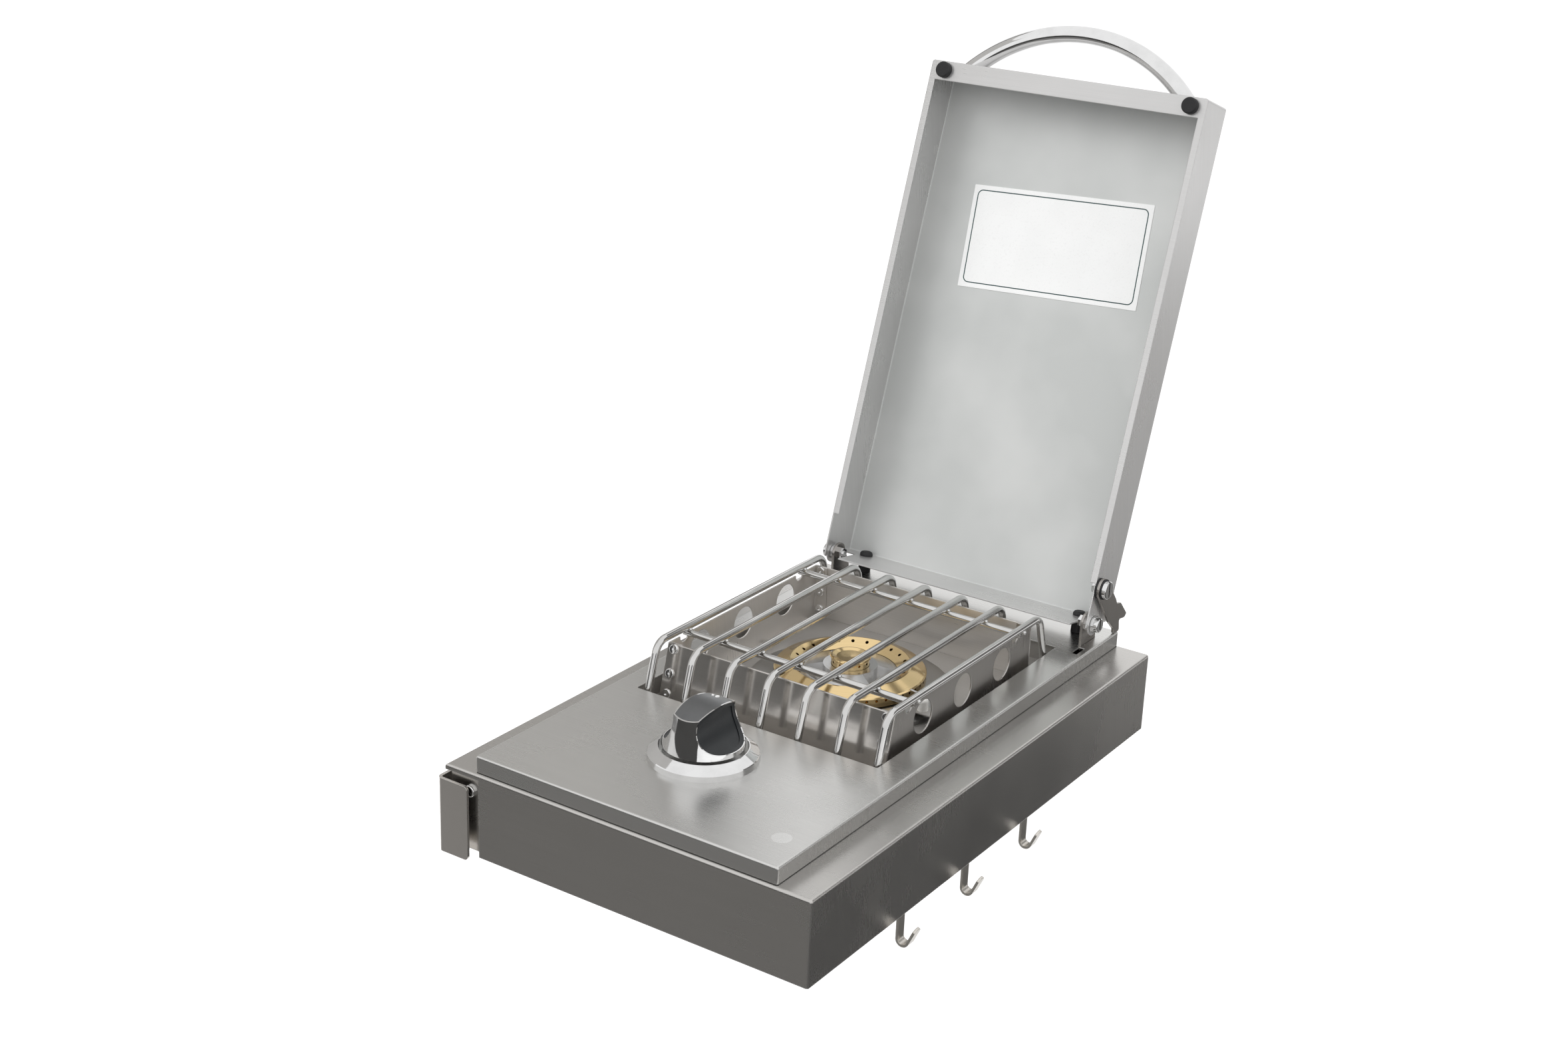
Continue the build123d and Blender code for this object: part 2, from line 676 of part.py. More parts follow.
# Grate: bars bent down at both ends, welded on two cross rods
foot_drop = BAR_Z - BAR_FOOT_Z
foot_run = foot_drop * BAR_SPREAD / BAR_SPREAD_H
grate_bars = []
for index in range(BAR_COUNT):
    x = GRATE_X + BAR_PITCH * (index - (BAR_COUNT - 1) / 2)
    path = FilletPolyline(
        (x, BAR_FRONT - foot_run, BAR_FOOT_Z),
        (x, BAR_FRONT, BAR_Z),
        (x, BAR_REAR, BAR_Z),
        (x, BAR_REAR + foot_run, BAR_FOOT_Z),
        radius=BAR_BEND_R,
    )
    start = Plane(origin=path @ 0, z_dir=path % 0)
    grate_bars.append(sweep(start * Circle(BAR_R), path=path))
grate_rods = []
for y in (ROD_FRONT, ROD_REAR):
    cross = rod(
        (left_x - ROD_OVERHANG, y, rod_z), (1, 0, 0), ROD_R, 2 * (GUARD_HALF_W + ROD_OVERHANG)
    )
    for bar in grate_bars:
        for side in (-1, 1):
            bead_x = bar.center().X + side * (BAR_R - WELD_R / 4)
            cross += Pos(bead_x, y, rod_z + ROD_R) * Sphere(WELD_R)
    for bar in grate_bars:
        cross -= bar
    grate_rods.append(cross)

# Burner: base casting, bowl, brass ring with ports, and centre cap
base_top = PAN_FLOOR + BASE_PLATE
ring_low = RING_EDGE_Z - RING_SKIRT_H
RING_FIT = 0.3
seat_r = RING_R - RING_WALL - RING_FIT
HUB_R = 26.0
HUB_BOTTOM = TUBE_Z - TUBE_R - 3.0
HUB_WALL = 3.0
burner_base = turned(
    [
        (HUB_R - HUB_WALL, HUB_BOTTOM + HUB_WALL),
        (HUB_R - HUB_WALL, base_top - 0.5),
        (seat_r - HUB_WALL, base_top - 0.5),
        (seat_r - HUB_WALL, ring_low + 3.0),
        (seat_r, ring_low + 3.0),
        (seat_r, ring_low - RING_FIT),
        (BASE_R - 4.0, base_top + 1.2),
        (BASE_R, base_top),
        (BASE_R, PAN_FLOOR),
        (HUB_R, PAN_FLOOR),
        (HUB_R, HUB_BOTTOM),
        (0, HUB_BOTTOM),
        (0, HUB_BOTTOM + HUB_WALL),
    ],
    WELL_X,
    BURNER_Y,
)
TUBE_FIT = 0.1
burner_base -= rod(
    (WELL_X, BURNER_Y - HUB_R - SHEET, TUBE_Z), (0, 1, 0), TUBE_R + TUBE_FIT, HUB_WALL + 6.0
)

ring_points = [
    (RING_R, ring_low),
    (RING_R, RING_EDGE_Z - 0.9),
    (RING_R - 0.9, RING_EDGE_Z),
    (RING_RIDGE_R + 0.9, RING_TOP - 0.2),
    (RING_RIDGE_R, RING_TOP),
    (RING_RIDGE_R - 0.7, RING_TOP - 0.4),
    (RING_INNER_R, RING_INNER_Z),
    (RING_INNER_R, RING_INNER_Z - RING_WALL),
    (RING_RIDGE_R - 0.4, RING_TOP - RING_WALL - 0.6),
    (RING_R - RING_WALL, RING_EDGE_Z - RING_WALL - 0.4),
    (RING_R - RING_WALL, ring_low),
]
burner_ring = turned(ring_points, WELL_X, BURNER_Y)
ports = []
for index in range(RING_PORTS):
    turn = 360.0 * index / RING_PORTS
    port = Location((WELL_X, BURNER_Y, ring_low + RING_PORT_H), (0, 0, turn)) * rod(
        (RING_R - 5.0, 0, 0), (1, 0, 0), RING_PORT_R, 8.0
    )
    ports.append(port)
for index in range(RING_HOLES):
    turn = 2 * math.pi * index / RING_HOLES
    spot = (
        WELL_X + RING_HOLE_CIRCLE_R * math.cos(turn),
        BURNER_Y + RING_HOLE_CIRCLE_R * math.sin(turn),
        RING_TOP - 8.0,
    )
    ports.append(rod(spot, (0, 0, 1), RING_PORT_R * 1.2, 10.0))
burner_ring = burner_ring.cut(*ports)

BOWL_LOW = 45.5
BOWL_T = 2.2
bowl_rim = RING_INNER_R - RING_FIT
bowl_edge = RING_INNER_Z - 0.2
COLLAR_STEP = 0.4
cap_seat = COLLAR_TOP - CAP_LEDGE
burner_bowl = turned(
    [
        (bowl_rim, bowl_edge),
        (COLLAR_R, COLLAR_TOP - COLLAR_STEP),
        (COLLAR_R, COLLAR_TOP),
        (CAP_BODY_R + RING_FIT, COLLAR_TOP),
        (CAP_BODY_R + RING_FIT, cap_seat),
        (CAP_SPIGOT_R + RING_FIT, cap_seat),
        (CAP_SPIGOT_R + RING_FIT, BOWL_LOW - 1.0),
        (COLLAR_R + 6.0, BOWL_LOW - 1.0),
        (bowl_rim, bowl_edge - BOWL_T),
    ],
    WELL_X,
    BURNER_Y,
)
# Three pockets between the spokes that carry the collar
POCKET_RIM = 0.8
pocket_ring = turned(
    [
        (bowl_rim - POCKET_RIM, bowl_edge - POCKET_RIM / 2),
        (COLLAR_R + 6.0, BOWL_LOW + 1.0),
        (COLLAR_R, BOWL_LOW + 0.6),
        (COLLAR_R, CAP_TOP),
        (bowl_rim - POCKET_RIM, CAP_TOP),
    ],
    WELL_X,
    BURNER_Y,
)
pocket_side = math.tan(math.radians(POCKET_ANGLE / 2)) * RING_R
pocket_sector = Polygon((0, 0), (RING_R, -pocket_side), (RING_R, pocket_side), align=None)
for index in range(SPOKES):
    turn = SPOKE_TURN + 360.0 * (index + 0.5) / SPOKES
    wedge = extrude(pocket_sector, CAP_TOP)
    burner_bowl -= pocket_ring & (Location((WELL_X, BURNER_Y, 0), (0, 0, turn)) * wedge)
BOWL_LEG_R = 3.0
BOWL_LEG_CIRCLE = 27.0
BOWL_LEGS = 3
for index in range(BOWL_LEGS):
    turn = 2 * math.pi * (index + 0.5) / BOWL_LEGS
    leg_spot = (
        WELL_X + BOWL_LEG_CIRCLE * math.cos(turn),
        BURNER_Y + BOWL_LEG_CIRCLE * math.sin(turn),
        base_top - 0.5,
    )
    burner_bowl += rod(leg_spot, (0, 0, 1), BOWL_LEG_R, BOWL_LOW + 0.8 - base_top + 0.5)

cap_in = CAP_SPIGOT_R - 1.7
burner_cap = turned(
    [
        (0, CAP_TOP - 1.7),
        (CAP_R - 4.5, CAP_TOP - 1.1),
        (CAP_R - 1.6, CAP_TOP),
        (CAP_R - 0.4, CAP_TOP - 0.3),
        (CAP_R, CAP_TOP - 1.2),
        (CAP_BODY_R, CAP_TOP - 2.2),
        (CAP_BODY_R, cap_seat),
        (CAP_SPIGOT_R, cap_seat),
        (CAP_SPIGOT_R, BOWL_LOW + 1.0),
        (cap_in, BOWL_LOW + 1.0),
        (cap_in, CAP_TOP - 3.8),
        (0, CAP_TOP - 3.9),
    ],
    WELL_X,
    BURNER_Y,
)
cap_ports = []
for index in range(CAP_PORTS):
    turn = 360.0 * index / CAP_PORTS
    port = Location((WELL_X, BURNER_Y, CAP_TOP - 3.7), (0, 0, turn)) * rod(
        (CAP_R - 5.0, 0, 0), (1, 0, 0), 0.9, 6.0
    )
    cap_ports.append(port)
burner_cap = burner_cap.cut(*cap_ports)

# Mixing tube, air shutter and orifice between the valve and the burner hub
tube_end = BURNER_Y - HUB_R + HUB_WALL
mixing_tube = rod((WELL_X, TUBE_INLET_Y, TUBE_Z), (0, 1, 0), TUBE_R, tube_end - TUBE_INLET_Y)
mixing_tube -= rod(
    (WELL_X, TUBE_INLET_Y - 1, TUBE_Z), (0, 1, 0), TUBE_R - TUBE_WALL, tube_end - TUBE_INLET_Y + 2
)
AIR_SLOT_W = 8.0
AIR_SLOT_L = 12.0
air_slot = block(
    WELL_X - TUBE_R - 4,
    WELL_X + TUBE_R + 4,
    TUBE_INLET_Y + 2,
    TUBE_INLET_Y + 2 + AIR_SLOT_L,
    TUBE_Z - AIR_SLOT_W / 2,
    TUBE_Z + AIR_SLOT_W / 2,
)
mixing_tube -= air_slot
SHUTTER_WALL = 0.8
shutter_y = TUBE_INLET_Y + 6.0
air_shutter = rod((WELL_X, shutter_y, TUBE_Z), (0, 1, 0), TUBE_R + TUBE_FIT + SHUTTER_WALL, SHUTTER_LEN)
air_shutter -= rod((WELL_X, shutter_y - 1, TUBE_Z), (0, 1, 0), TUBE_R + TUBE_FIT, SHUTTER_LEN + 2)
SPUD_R = 4.0
SPUD_DEPTH = 6.0
SPUD_HEX = 11.0
NOZZLE_R = 3.0
valve_face = KNOB_Y + VALVE_R
orifice = rod((WELL_X, valve_face - SPUD_DEPTH, TUBE_Z), (0, 1, 0), SPUD_R, SPUD_DEPTH + 4.0)
orifice += hexagon((WELL_X, valve_face + 3.0, TUBE_Z), (0, 1, 0), SPUD_HEX, 18.0)
orifice += rod((WELL_X, valve_face + 20.0, TUBE_Z), (0, 1, 0), NOZZLE_R, TUBE_INLET_Y - valve_face - 16.0)
orifice -= rod((WELL_X, valve_face, TUBE_Z), (0, 1, 0), 0.6, 60.0)

# Valve: body, hat bracket under the deck, clamp nut and gas inlet
POCKET_FLOOR = HAT_FLOOR + PLATE + 1.0
COLLAR_FIT = 0.1
valve_body = rod((WELL_X, KNOB_Y, VALVE_BOTTOM), (0, 0, 1), VALVE_R, VALVE_TOP - VALVE_BOTTOM)
valve_body += rod((WELL_X, KNOB_Y, VALVE_TOP), (0, 0, 1), NECK_R, NECK_TOP - VALVE_TOP)
pocket_half = COLLAR_HALF + COLLAR_FIT
valve_body -= block(
    WELL_X - pocket_half,
    WELL_X + pocket_half,
    KNOB_Y - pocket_half,
    KNOB_Y + pocket_half,
    POCKET_FLOOR,
    NECK_TOP + SHEET,
)
bore_low = STEM_BOTTOM - KNOB_PUSH - SHEET
valve_body -= rod((WELL_X, KNOB_Y, bore_low), (0, 0, 1), STEM_R + RUN_FIT, POCKET_FLOOR - bore_low + 1)
valve_body -= rod((WELL_X, valve_face - SPUD_DEPTH, TUBE_Z), (0, 1, 0), SPUD_R, SPUD_DEPTH + 4.0)
PIPE_DEPTH = 8.0
pipe_start = WELL_X - VALVE_R + PIPE_DEPTH
valve_body -= rod((pipe_start, KNOB_Y, PIPE_Z), (-1, 0, 0), PIPE_R, PIPE_DEPTH + 4.0)

hat_x0 = WELL_X - HAT_HALF_W
hat_x1 = WELL_X + HAT_HALF_W
hat_y0 = KNOB_Y - HAT_HALF_D
hat_y1 = KNOB_Y + HAT_HALF_D
valve_bracket = block(hat_x0, hat_x1, hat_y0, hat_y1, HAT_FLOOR, HAT_FLOOR + PLATE)
valve_bracket += block(hat_x1 - PLATE, hat_x1, hat_y0, hat_y1, HAT_FLOOR, under_deck)
valve_bracket += block(hat_x0, hat_x0 + PLATE, hat_y0, hat_y1, HAT_FLOOR, under_deck)
valve_bracket += block(hat_x1 - PLATE, hat_x1 + HAT_FLANGE, hat_y0, hat_y1, under_deck - PLATE, under_deck)
valve_bracket += block(hat_x0 - HAT_FLANGE, hat_x0 + PLATE, hat_y0, hat_y1, under_deck - PLATE, under_deck)
valve_bracket -= rod((WELL_X, KNOB_Y, HAT_FLOOR - PLATE), (0, 0, 1), NECK_R, 3 * PLATE)
CLAMP_HEX = 30.0
CLAMP_H = 4.0
clamp_nut = hexagon((WELL_X, KNOB_Y, HAT_FLOOR + PLATE), (0, 0, 1), CLAMP_HEX, CLAMP_H)
clamp_nut -= rod((WELL_X, KNOB_Y, HAT_FLOOR), (0, 0, 1), NECK_R, 3 * CLAMP_H)

FITTING_X = 24.0
FITTING_HEX = 17.0
INLET_R = 7.5
INLET_END = 3.5
gas_inlet = rod((pipe_start, KNOB_Y, PIPE_Z), (-1, 0, 0), PIPE_R, pipe_start - FITTING_X + 2.0)
gas_inlet += hexagon((FITTING_X, KNOB_Y, PIPE_Z), (-1, 0, 0), FITTING_HEX, 12.0)
gas_inlet += rod((FITTING_X - 10.0, KNOB_Y, PIPE_Z), (-1, 0, 0), INLET_R, FITTING_X - 10.0 - INLET_END)
BORE_R = 3.2
gas_inlet -= rod((INLET_END - 1, KNOB_Y, PIPE_Z), (1, 0, 0), BORE_R, 100.0)

# Igniter: domed ceramic insulator with its electrode, on a small bracket by the ring
IGNITER_GAP = 2.9
IGNITER_REACH = 11.0
IGNITER_LEG_X = right_x - GUARD_FOOT - IGNITER_GAP
IGNITER_X = IGNITER_LEG_X - IGNITER_REACH
IGNITER_Y = 29.5
IGNITER_R = 3.9
IGNITER_STEM_R = 2.2
IGNITER_TOP = 53.0
IGNITER_SHELF = 44.0
ELECTRODE_R = 0.9
ELECTRODE_BEND_R = 1.2
ELECTRODE_UP = 1.8
SPARK_GAP = 4.0
IGNITER_HALF_D = 6.0
IGNITER_FOOT = 5.0
stem_low = IGNITER_SHELF - 2.8
dome_start = (IGNITER_X, IGNITER_Y, IGNITER_SHELF)
igniter_insulator = rod(dome_start, (0, 0, 1), IGNITER_R, IGNITER_TOP - IGNITER_SHELF)
dome_edge = [e for e in igniter_insulator.edges() if abs(e.center().Z - IGNITER_TOP) < 0.01]
igniter_insulator = fillet(dome_edge, IGNITER_R * 0.7)
igniter_insulator += rod((IGNITER_X, IGNITER_Y, stem_low), (0, 0, 1), IGNITER_STEM_R, IGNITER_SHELF - stem_low)
igniter_insulator -= rod((IGNITER_X, IGNITER_Y, stem_low - 1), (0, 0, 1), ELECTRODE_R, IGNITER_TOP - stem_low + 2)
to_ring = Vector(WELL_X - IGNITER_X, BURNER_Y - IGNITER_Y, 0)
tip = to_ring.normalized() * (to_ring.length - RING_R - SPARK_GAP)
electrode_z = IGNITER_TOP + ELECTRODE_UP
electrode_path = FilletPolyline(
    (IGNITER_X, IGNITER_Y, stem_low),
    (IGNITER_X, IGNITER_Y, electrode_z),
    (IGNITER_X + tip.X, IGNITER_Y + tip.Y, electrode_z),
    radius=ELECTRODE_BEND_R,
)
electrode_start = Plane(origin=electrode_path @ 0, z_dir=electrode_path % 0)
igniter_electrode = sweep(electrode_start * Circle(ELECTRODE_R), path=electrode_path)
igniter_y0 = IGNITER_Y - IGNITER_HALF_D
igniter_y1 = IGNITER_Y + IGNITER_HALF_D
igniter_bracket = block(
    IGNITER_X - IGNITER_HALF_D, IGNITER_LEG_X, igniter_y0, igniter_y1, IGNITER_SHELF - SHEET, IGNITER_SHELF
)
igniter_bracket += block(
    IGNITER_LEG_X - SHEET, IGNITER_LEG_X, igniter_y0, igniter_y1, PAN_FLOOR, IGNITER_SHELF
)
igniter_bracket += block(
    IGNITER_LEG_X - IGNITER_FOOT, IGNITER_LEG_X, igniter_y0, igniter_y1, PAN_FLOOR, PAN_FLOOR + SHEET
)
igniter_bracket -= rod((IGNITER_X, IGNITER_Y, stem_low), (0, 0, 1), IGNITER_STEM_R, IGNITER_SHELF - stem_low + 1)

# Bezel and its screws
bezel_top = DECK_TOP + BEZEL_H
bezel = turned(
    [
        (BEZEL_IN_R, DECK_TOP),
        (BEZEL_R, DECK_TOP),
        (BEZEL_R - 0.4, DECK_TOP + BEZEL_EDGE_H - 0.6),
        (BEZEL_R - 0.9, DECK_TOP + BEZEL_EDGE_H),
        (BEZEL_IN_R + 0.9, bezel_top),
        (BEZEL_IN_R + 0.3, bezel_top),
        (BEZEL_IN_R, bezel_top - 0.5),
    ],
    WELL_X,
    KNOB_Y,
)
bezel_screws = []
BEZEL_SCREW_DEPTH = 3.4
BEZEL_SCREW_HEAD_R = 3.2
BEZEL_SCREW_HEAD_H = 2.2
for side in (-1, 1):
    x = WELL_X + side * BEZEL_SCREW_X
    low = under_deck - PLATE
    shank = rod((x, KNOB_Y, low), (0, 0, 1), BEZEL_SCREW_R, PLATE + SHEET + BEZEL_SCREW_DEPTH)
    bezel -= shank
    valve_bracket -= shank
    bezel_screws.append(shank + rod((x, KNOB_Y, low), (0, 0, -1), BEZEL_SCREW_HEAD_R, BEZEL_SCREW_HEAD_H))

# Valve stem with a flange, the sliding collar that can't turn, and the clip over it
STEM_FLANGE_R = 5.6
STEM_FLANGE_H = 1.2
CLIP_R = 6.4
CLIP_H = 1.0
valve_stem = rod((WELL_X, KNOB_Y, STEM_BOTTOM), (0, 0, 1), STEM_R, STEM_TOP - STEM_BOTTOM)
valve_stem += rod(
    (WELL_X, KNOB_Y, COLLAR_Z - MOVE_GAP - STEM_FLANGE_H), (0, 0, 1), STEM_FLANGE_R, STEM_FLANGE_H
)
flat_low = KNOB_BOTTOM + 1.0
valve_stem -= block(
    WELL_X - STEM_R,
    WELL_X + STEM_R,
    KNOB_Y + STEM_R - STEM_FLAT,
    KNOB_Y + STEM_R + 1,
    flat_low,
    STEM_TOP + 1,
)
stem_collar = block(
    WELL_X - COLLAR_HALF,
    WELL_X + COLLAR_HALF,
    KNOB_Y - COLLAR_HALF,
    KNOB_Y + COLLAR_HALF,
    COLLAR_Z,
    COLLAR_Z + COLLAR_H,
)
stem_collar -= rod((WELL_X, KNOB_Y, COLLAR_Z - 1), (0, 0, 1), STEM_R + RUN_FIT, COLLAR_H + 2)
clip_z = COLLAR_Z + COLLAR_H + MOVE_GAP
stem_clip = rod((WELL_X, KNOB_Y, clip_z), (0, 0, 1), CLIP_R, CLIP_H)
stem_clip -= rod((WELL_X, KNOB_Y, clip_z - 1), (0, 0, 1), STEM_R, CLIP_H + 2)

# Knob: a tapered skirt with a domed top and two scooped sides that carry soft grips
def knob_cone(inset):
    """The knob's round body, made smaller all round."""
    top = KNOB_TOP + KNOB_PUSH
    r0 = KNOB_R - inset
    r1 = r0 - KNOB_TAPER * (top - KNOB_BOTTOM)
    return turned([(0, KNOB_BOTTOM), (r0, KNOB_BOTTOM), (r1, top), (0, top)], WELL_X, KNOB_Y)


def knob_dome(depth):
    """The barrel whose upper side is the knob's domed top, lowered by a depth."""
    start = (WELL_X - 2 * KNOB_R, KNOB_Y, KNOB_TOP - KNOB_DOME_R)
    return rod(start, (1, 0, 0), KNOB_DOME_R - depth, 4 * KNOB_R)


def scoop(depth):
    """The barrel that hollows out the right-hand side, cut deeper by a depth."""
    start = (WELL_X + SCOOP_X, KNOB_Y - 2 * KNOB_R, KNOB_BOTTOM + SCOOP_RISE)
    return rod(start, (0, 1, 0), SCOOP_R + depth, 4 * KNOB_R)


def both_sides(shape):
    """The shape and its mirror image across the knob."""
    return [shape, mirrored(shape, WELL_X)]


knob_body = knob_cone(0) & knob_dome(0)
for piece in both_sides(scoop(0)):
    knob_body -= piece
GRIP_SUNK = 0.2
GRIP_STEP = 0.6
knob_half = block(WELL_X, WELL_X + KNOB_R, KNOB_Y - KNOB_R, KNOB_Y + KNOB_R, KNOB_BOTTOM, KNOB_TOP)
grip_field = knob_half & knob_cone(KNOB_RIM) & knob_dome(KNOB_RIM)
grip_centre = knob_half & knob_cone(KNOB_RIM + GRIP_BAND) & knob_dome(KNOB_RIM + GRIP_BAND)
grip_room = grip_field & scoop(GRIP_SUNK + GRIP_THICK)
grip = grip_room - scoop(GRIP_SUNK)
grip -= grip_centre & scoop(GRIP_SUNK + GRIP_STEP)
knob_grips = both_sides(grip)
for piece in both_sides(grip_room):
    knob_body -= piece
TOP_INSET = 0.8
TOP_PLATE = 0.5
knob_plate = knob_cone(TOP_INSET) & knob_dome(0)
knob_plate -= knob_dome(TOP_PLATE)
for piece in both_sides(scoop(TOP_INSET)):
    knob_plate -= piece
knob_plate &= block(
    WELL_X - KNOB_R, WELL_X + KNOB_R, KNOB_Y - KNOB_R, KNOB_Y + KNOB_R, KNOB_BOTTOM, KNOB_TOP + 1
)
knob_body -= knob_plate
CAVITY_R = 13.5
CAVITY_TOP = KNOB_BOTTOM + 3.2
HUB_OF_KNOB_R = 8.5
cavity = rod((WELL_X, KNOB_Y, KNOB_BOTTOM - 1), (0, 0, 1), CAVITY_R, CAVITY_TOP - KNOB_BOTTOM + 1)
cavity -= rod((WELL_X, KNOB_Y, KNOB_BOTTOM - 1), (0, 0, 1), HUB_OF_KNOB_R, 40.0)
knob_body -= cavity
knob_body -= valve_stem

# Lid, built closed about its hinge axis and turned to the open position
lid_top = LID_RIM + LID_DEPTH
rear_slope = (LID_REAR_RIM + LID_REAR_TOP) / LID_DEPTH


def rear_y(z, inset):
    """The rear wall's Y at a height, moved inwards by an inset."""
    return LID_REAR_RIM - (z - LID_RIM) * rear_slope - inset * math.hypot(1.0, rear_slope)


shell = slab(
    [
        (-LID_FRONT, LID_RIM),
        (-LID_FRONT, lid_top),
        (rear_y(lid_top, 0), lid_top),
        (rear_y(LID_RIM, 0), LID_RIM),
    ],
    -LID_HALF_W,
    LID_HALF_W,
)
round_edges = [e for e in shell.edges() if e.center().Z > LID_RIM + 1]
shell = fillet(round_edges, LID_EDGE_R)
inner_top = lid_top - SHEET
room = slab(
    [
        (-LID_FRONT + SHEET, LID_RIM - SHEET),
        (-LID_FRONT + SHEET, inner_top),
        (rear_y(inner_top, SHEET), inner_top),
        (rear_y(LID_RIM - SHEET, SHEET), LID_RIM - SHEET),
    ],
    -LID_HALF_W + SHEET,
    LID_HALF_W - SHEET,
)
room_edges = [e for e in room.edges() if e.center().Z > LID_RIM]
shell -= fillet(room_edges, LID_EDGE_R - SHEET)
inner_half = LID_HALF_W - SHEET
shell += block(
    -inner_half - SHEET / 2,
    inner_half + SHEET / 2,
    -LID_FRONT + SHEET / 2,
    -LID_FRONT + LID_FRONT_FLANGE,
    LID_RIM,
    LID_RIM + SHEET,
)
HEM_END = 30.0
for side in (-1, 1):
    x0, x1 = sorted((side * (inner_half + SHEET / 2), side * (LID_HALF_W - LID_SIDE_HEM)))
    shell += block(x0, x1, -LID_FRONT + LID_FRONT_FLANGE - 1, -HEM_END, LID_RIM, LID_RIM + SHEET)
notch = block(LID_NOTCH_X, inner_half, -HEM_END / 2, 3 * LID_LUG_R, LID_RIM - SHEET, LID_NOTCH_TOP)
shell -= notch
shell -= mirror(notch, about=Plane.YZ)
lug = rod((inner_half, 0, 0), (1, 0, 0), LID_LUG_R, SHEET)
shell += lug
shell += mirror(lug, about=Plane.YZ)
for side in (-1, 1):
    shell -= rod((side * (inner_half - 3), 0, 0), (side, 0, 0), SHOULDER_R + RUN_FIT, 8.0)

# Lid bumpers: two under the front flange, two through the rear wall that meet the deck when open
BUMPER_STEM_R = 2.6
BUMPER_BARB_H = 1.6
bumper_gap = HINGE_Z + LID_RIM - DECK_TOP - MOVE_GAP
bumpers_front = []
bumpers_rear = []
rear_d = BUMPER_REAR_D + LID_RIM
rear_normal = Vector(0, 1, rear_slope).normalized()
deck_side = block(-200, 200, DECK_REAR - 100, DECK_REAR + 60, DECK_TOP - 40, DECK_TOP + MOVE_GAP)
for side in (-1, 1):
    x = side * BUMPER_FRONT_X
    pad = rod((x, -BUMPER_FRONT_S, LID_RIM), (0, 0, -1), BUMPER_R, bumper_gap)
    pad_edge = [e for e in pad.edges() if abs(e.center().Z - LID_RIM + bumper_gap) < 0.01]
    pad = fillet(pad_edge, 1.2)
    pad += rod((x, -BUMPER_FRONT_S, LID_RIM), (0, 0, 1), BUMPER_STEM_R, SHEET + BUMPER_BARB_H)
    pad += rod((x, -BUMPER_FRONT_S, LID_RIM + SHEET), (0, 0, 1), BUMPER_STEM_R + 1.2, BUMPER_BARB_H)
    shell -= rod((x, -BUMPER_FRONT_S, LID_RIM - 1), (0, 0, 1), BUMPER_STEM_R, 3 * SHEET)
    bumpers_front.append(in_lid(pad))
    outer = Vector(side * BUMPER_REAR_X, rear_y(rear_d, 0), rear_d)
    inner = outer - rear_normal * SHEET
    stop = rod(outer, rear_normal, BUMPER_REAR_R, 20.0)
    stop += rod(inner, rear_normal, BUMPER_STEM_R, SHEET + 1.0)
    head = rod(inner, (-rear_normal), BUMPER_HEAD_R, BUMPER_HEAD_H)
    far = inner - rear_normal * BUMPER_HEAD_H
    rims = head.edges().filter_by(GeomType.CIRCLE)
    head_edge = [e for e in rims if (e.arc_center - far).length < 0.01]
    stop += fillet(head_edge, BUMPER_HEAD_H * 0.7)
    shell -= rod((inner - rear_normal), rear_normal, BUMPER_STEM_R, 4 * SHEET)
    stop = in_lid(stop)
    stop -= Pos(CENTRE_X, 0, 0) * deck_side
    bumpers_rear.append(stop)

# Handle: one tube bent to an arc, with a plug and a screw at each end
handle_z = LID_RIM + HANDLE_D
arc_y = -HANDLE_APEX + HANDLE_ARC_R
meet = -LID_FRONT
half_turn = math.degrees(math.acos((arc_y - meet) / HANDLE_ARC_R))
handle_path = CenterArc((0, arc_y, handle_z), HANDLE_ARC_R, 270 - half_turn - 4, 2 * half_turn + 8)
handle_start = Plane(origin=handle_path @ 0, z_dir=handle_path % 0)
handle_solid = sweep(handle_start * Circle(HANDLE_R), path=handle_path)
handle_hollow = sweep(handle_start * Circle(HANDLE_R - HANDLE_WALL), path=handle_path)
keep = block(-LID_HALF_W, LID_HALF_W, -LID_FRONT - 60, -LID_FRONT, handle_z - 20, handle_z + 20)
handle = (handle_solid - handle_hollow) & keep
plug_keep = block(-LID_HALF_W, LID_HALF_W, -LID_FRONT - PLUG_LEN, -LID_FRONT, handle_z - 20, handle_z + 20)
handle_plugs = handle_hollow & plug_keep
handle_half = HANDLE_ARC_R * math.sin(math.radians(half_turn))
HANDLE_SCREW_R = 2.4
HANDLE_SCREW_LEN = 6.5
HANDLE_SCREW_SHIFT = 3.6
handle_screws = []
for side in (-1, 1):
    spot = (side * (handle_half - HANDLE_SCREW_SHIFT), -LID_FRONT + SHEET, handle_z)
    shank = rod(spot, (0, -1, 0), HANDLE_SCREW_R, SHEET + HANDLE_SCREW_LEN)
    shell -= shank
    handle_plugs -= shank
    handle_screws.append(in_lid(shank + rod(spot, (0, 1, 0), SCREW_HEAD_R, SCREW_HEAD_H)))

# Stay plate with its bolt, washers and nut on the right-hand lid wall
wall_out = CENTRE_X + LID_HALF_W
wall_in = wall_out - SHEET
stay_x0 = wall_out + STAY_SPACE
stay_x1 = stay_x0 + PLATE
STAY_HEAD = (HINGE_Y + STAY_HEAD_Y, DECK_TOP + STAY_HEAD_UP)
STAY_OUTLINE = (
    (-3.65, 40.5),
    (4.05, 30.7),
    (17.85, 12.8),
    (27.05, 4.4),
    (27.65, MOVE_GAP),
    (36.25, MOVE_GAP),
    (34.75, 9.8),
    (43.45, 8.4),
    (47.05, 10.6),
    (35.55, 22.8),
    (28.75, 24.6),
    (26.75, 28.4),
    (11.25, 46.9),
)
stay = slab([(HINGE_Y + y, DECK_TOP + z) for y, z in STAY_OUTLINE], stay_x0, stay_x1)
STAY_CORNER_R = 1.5
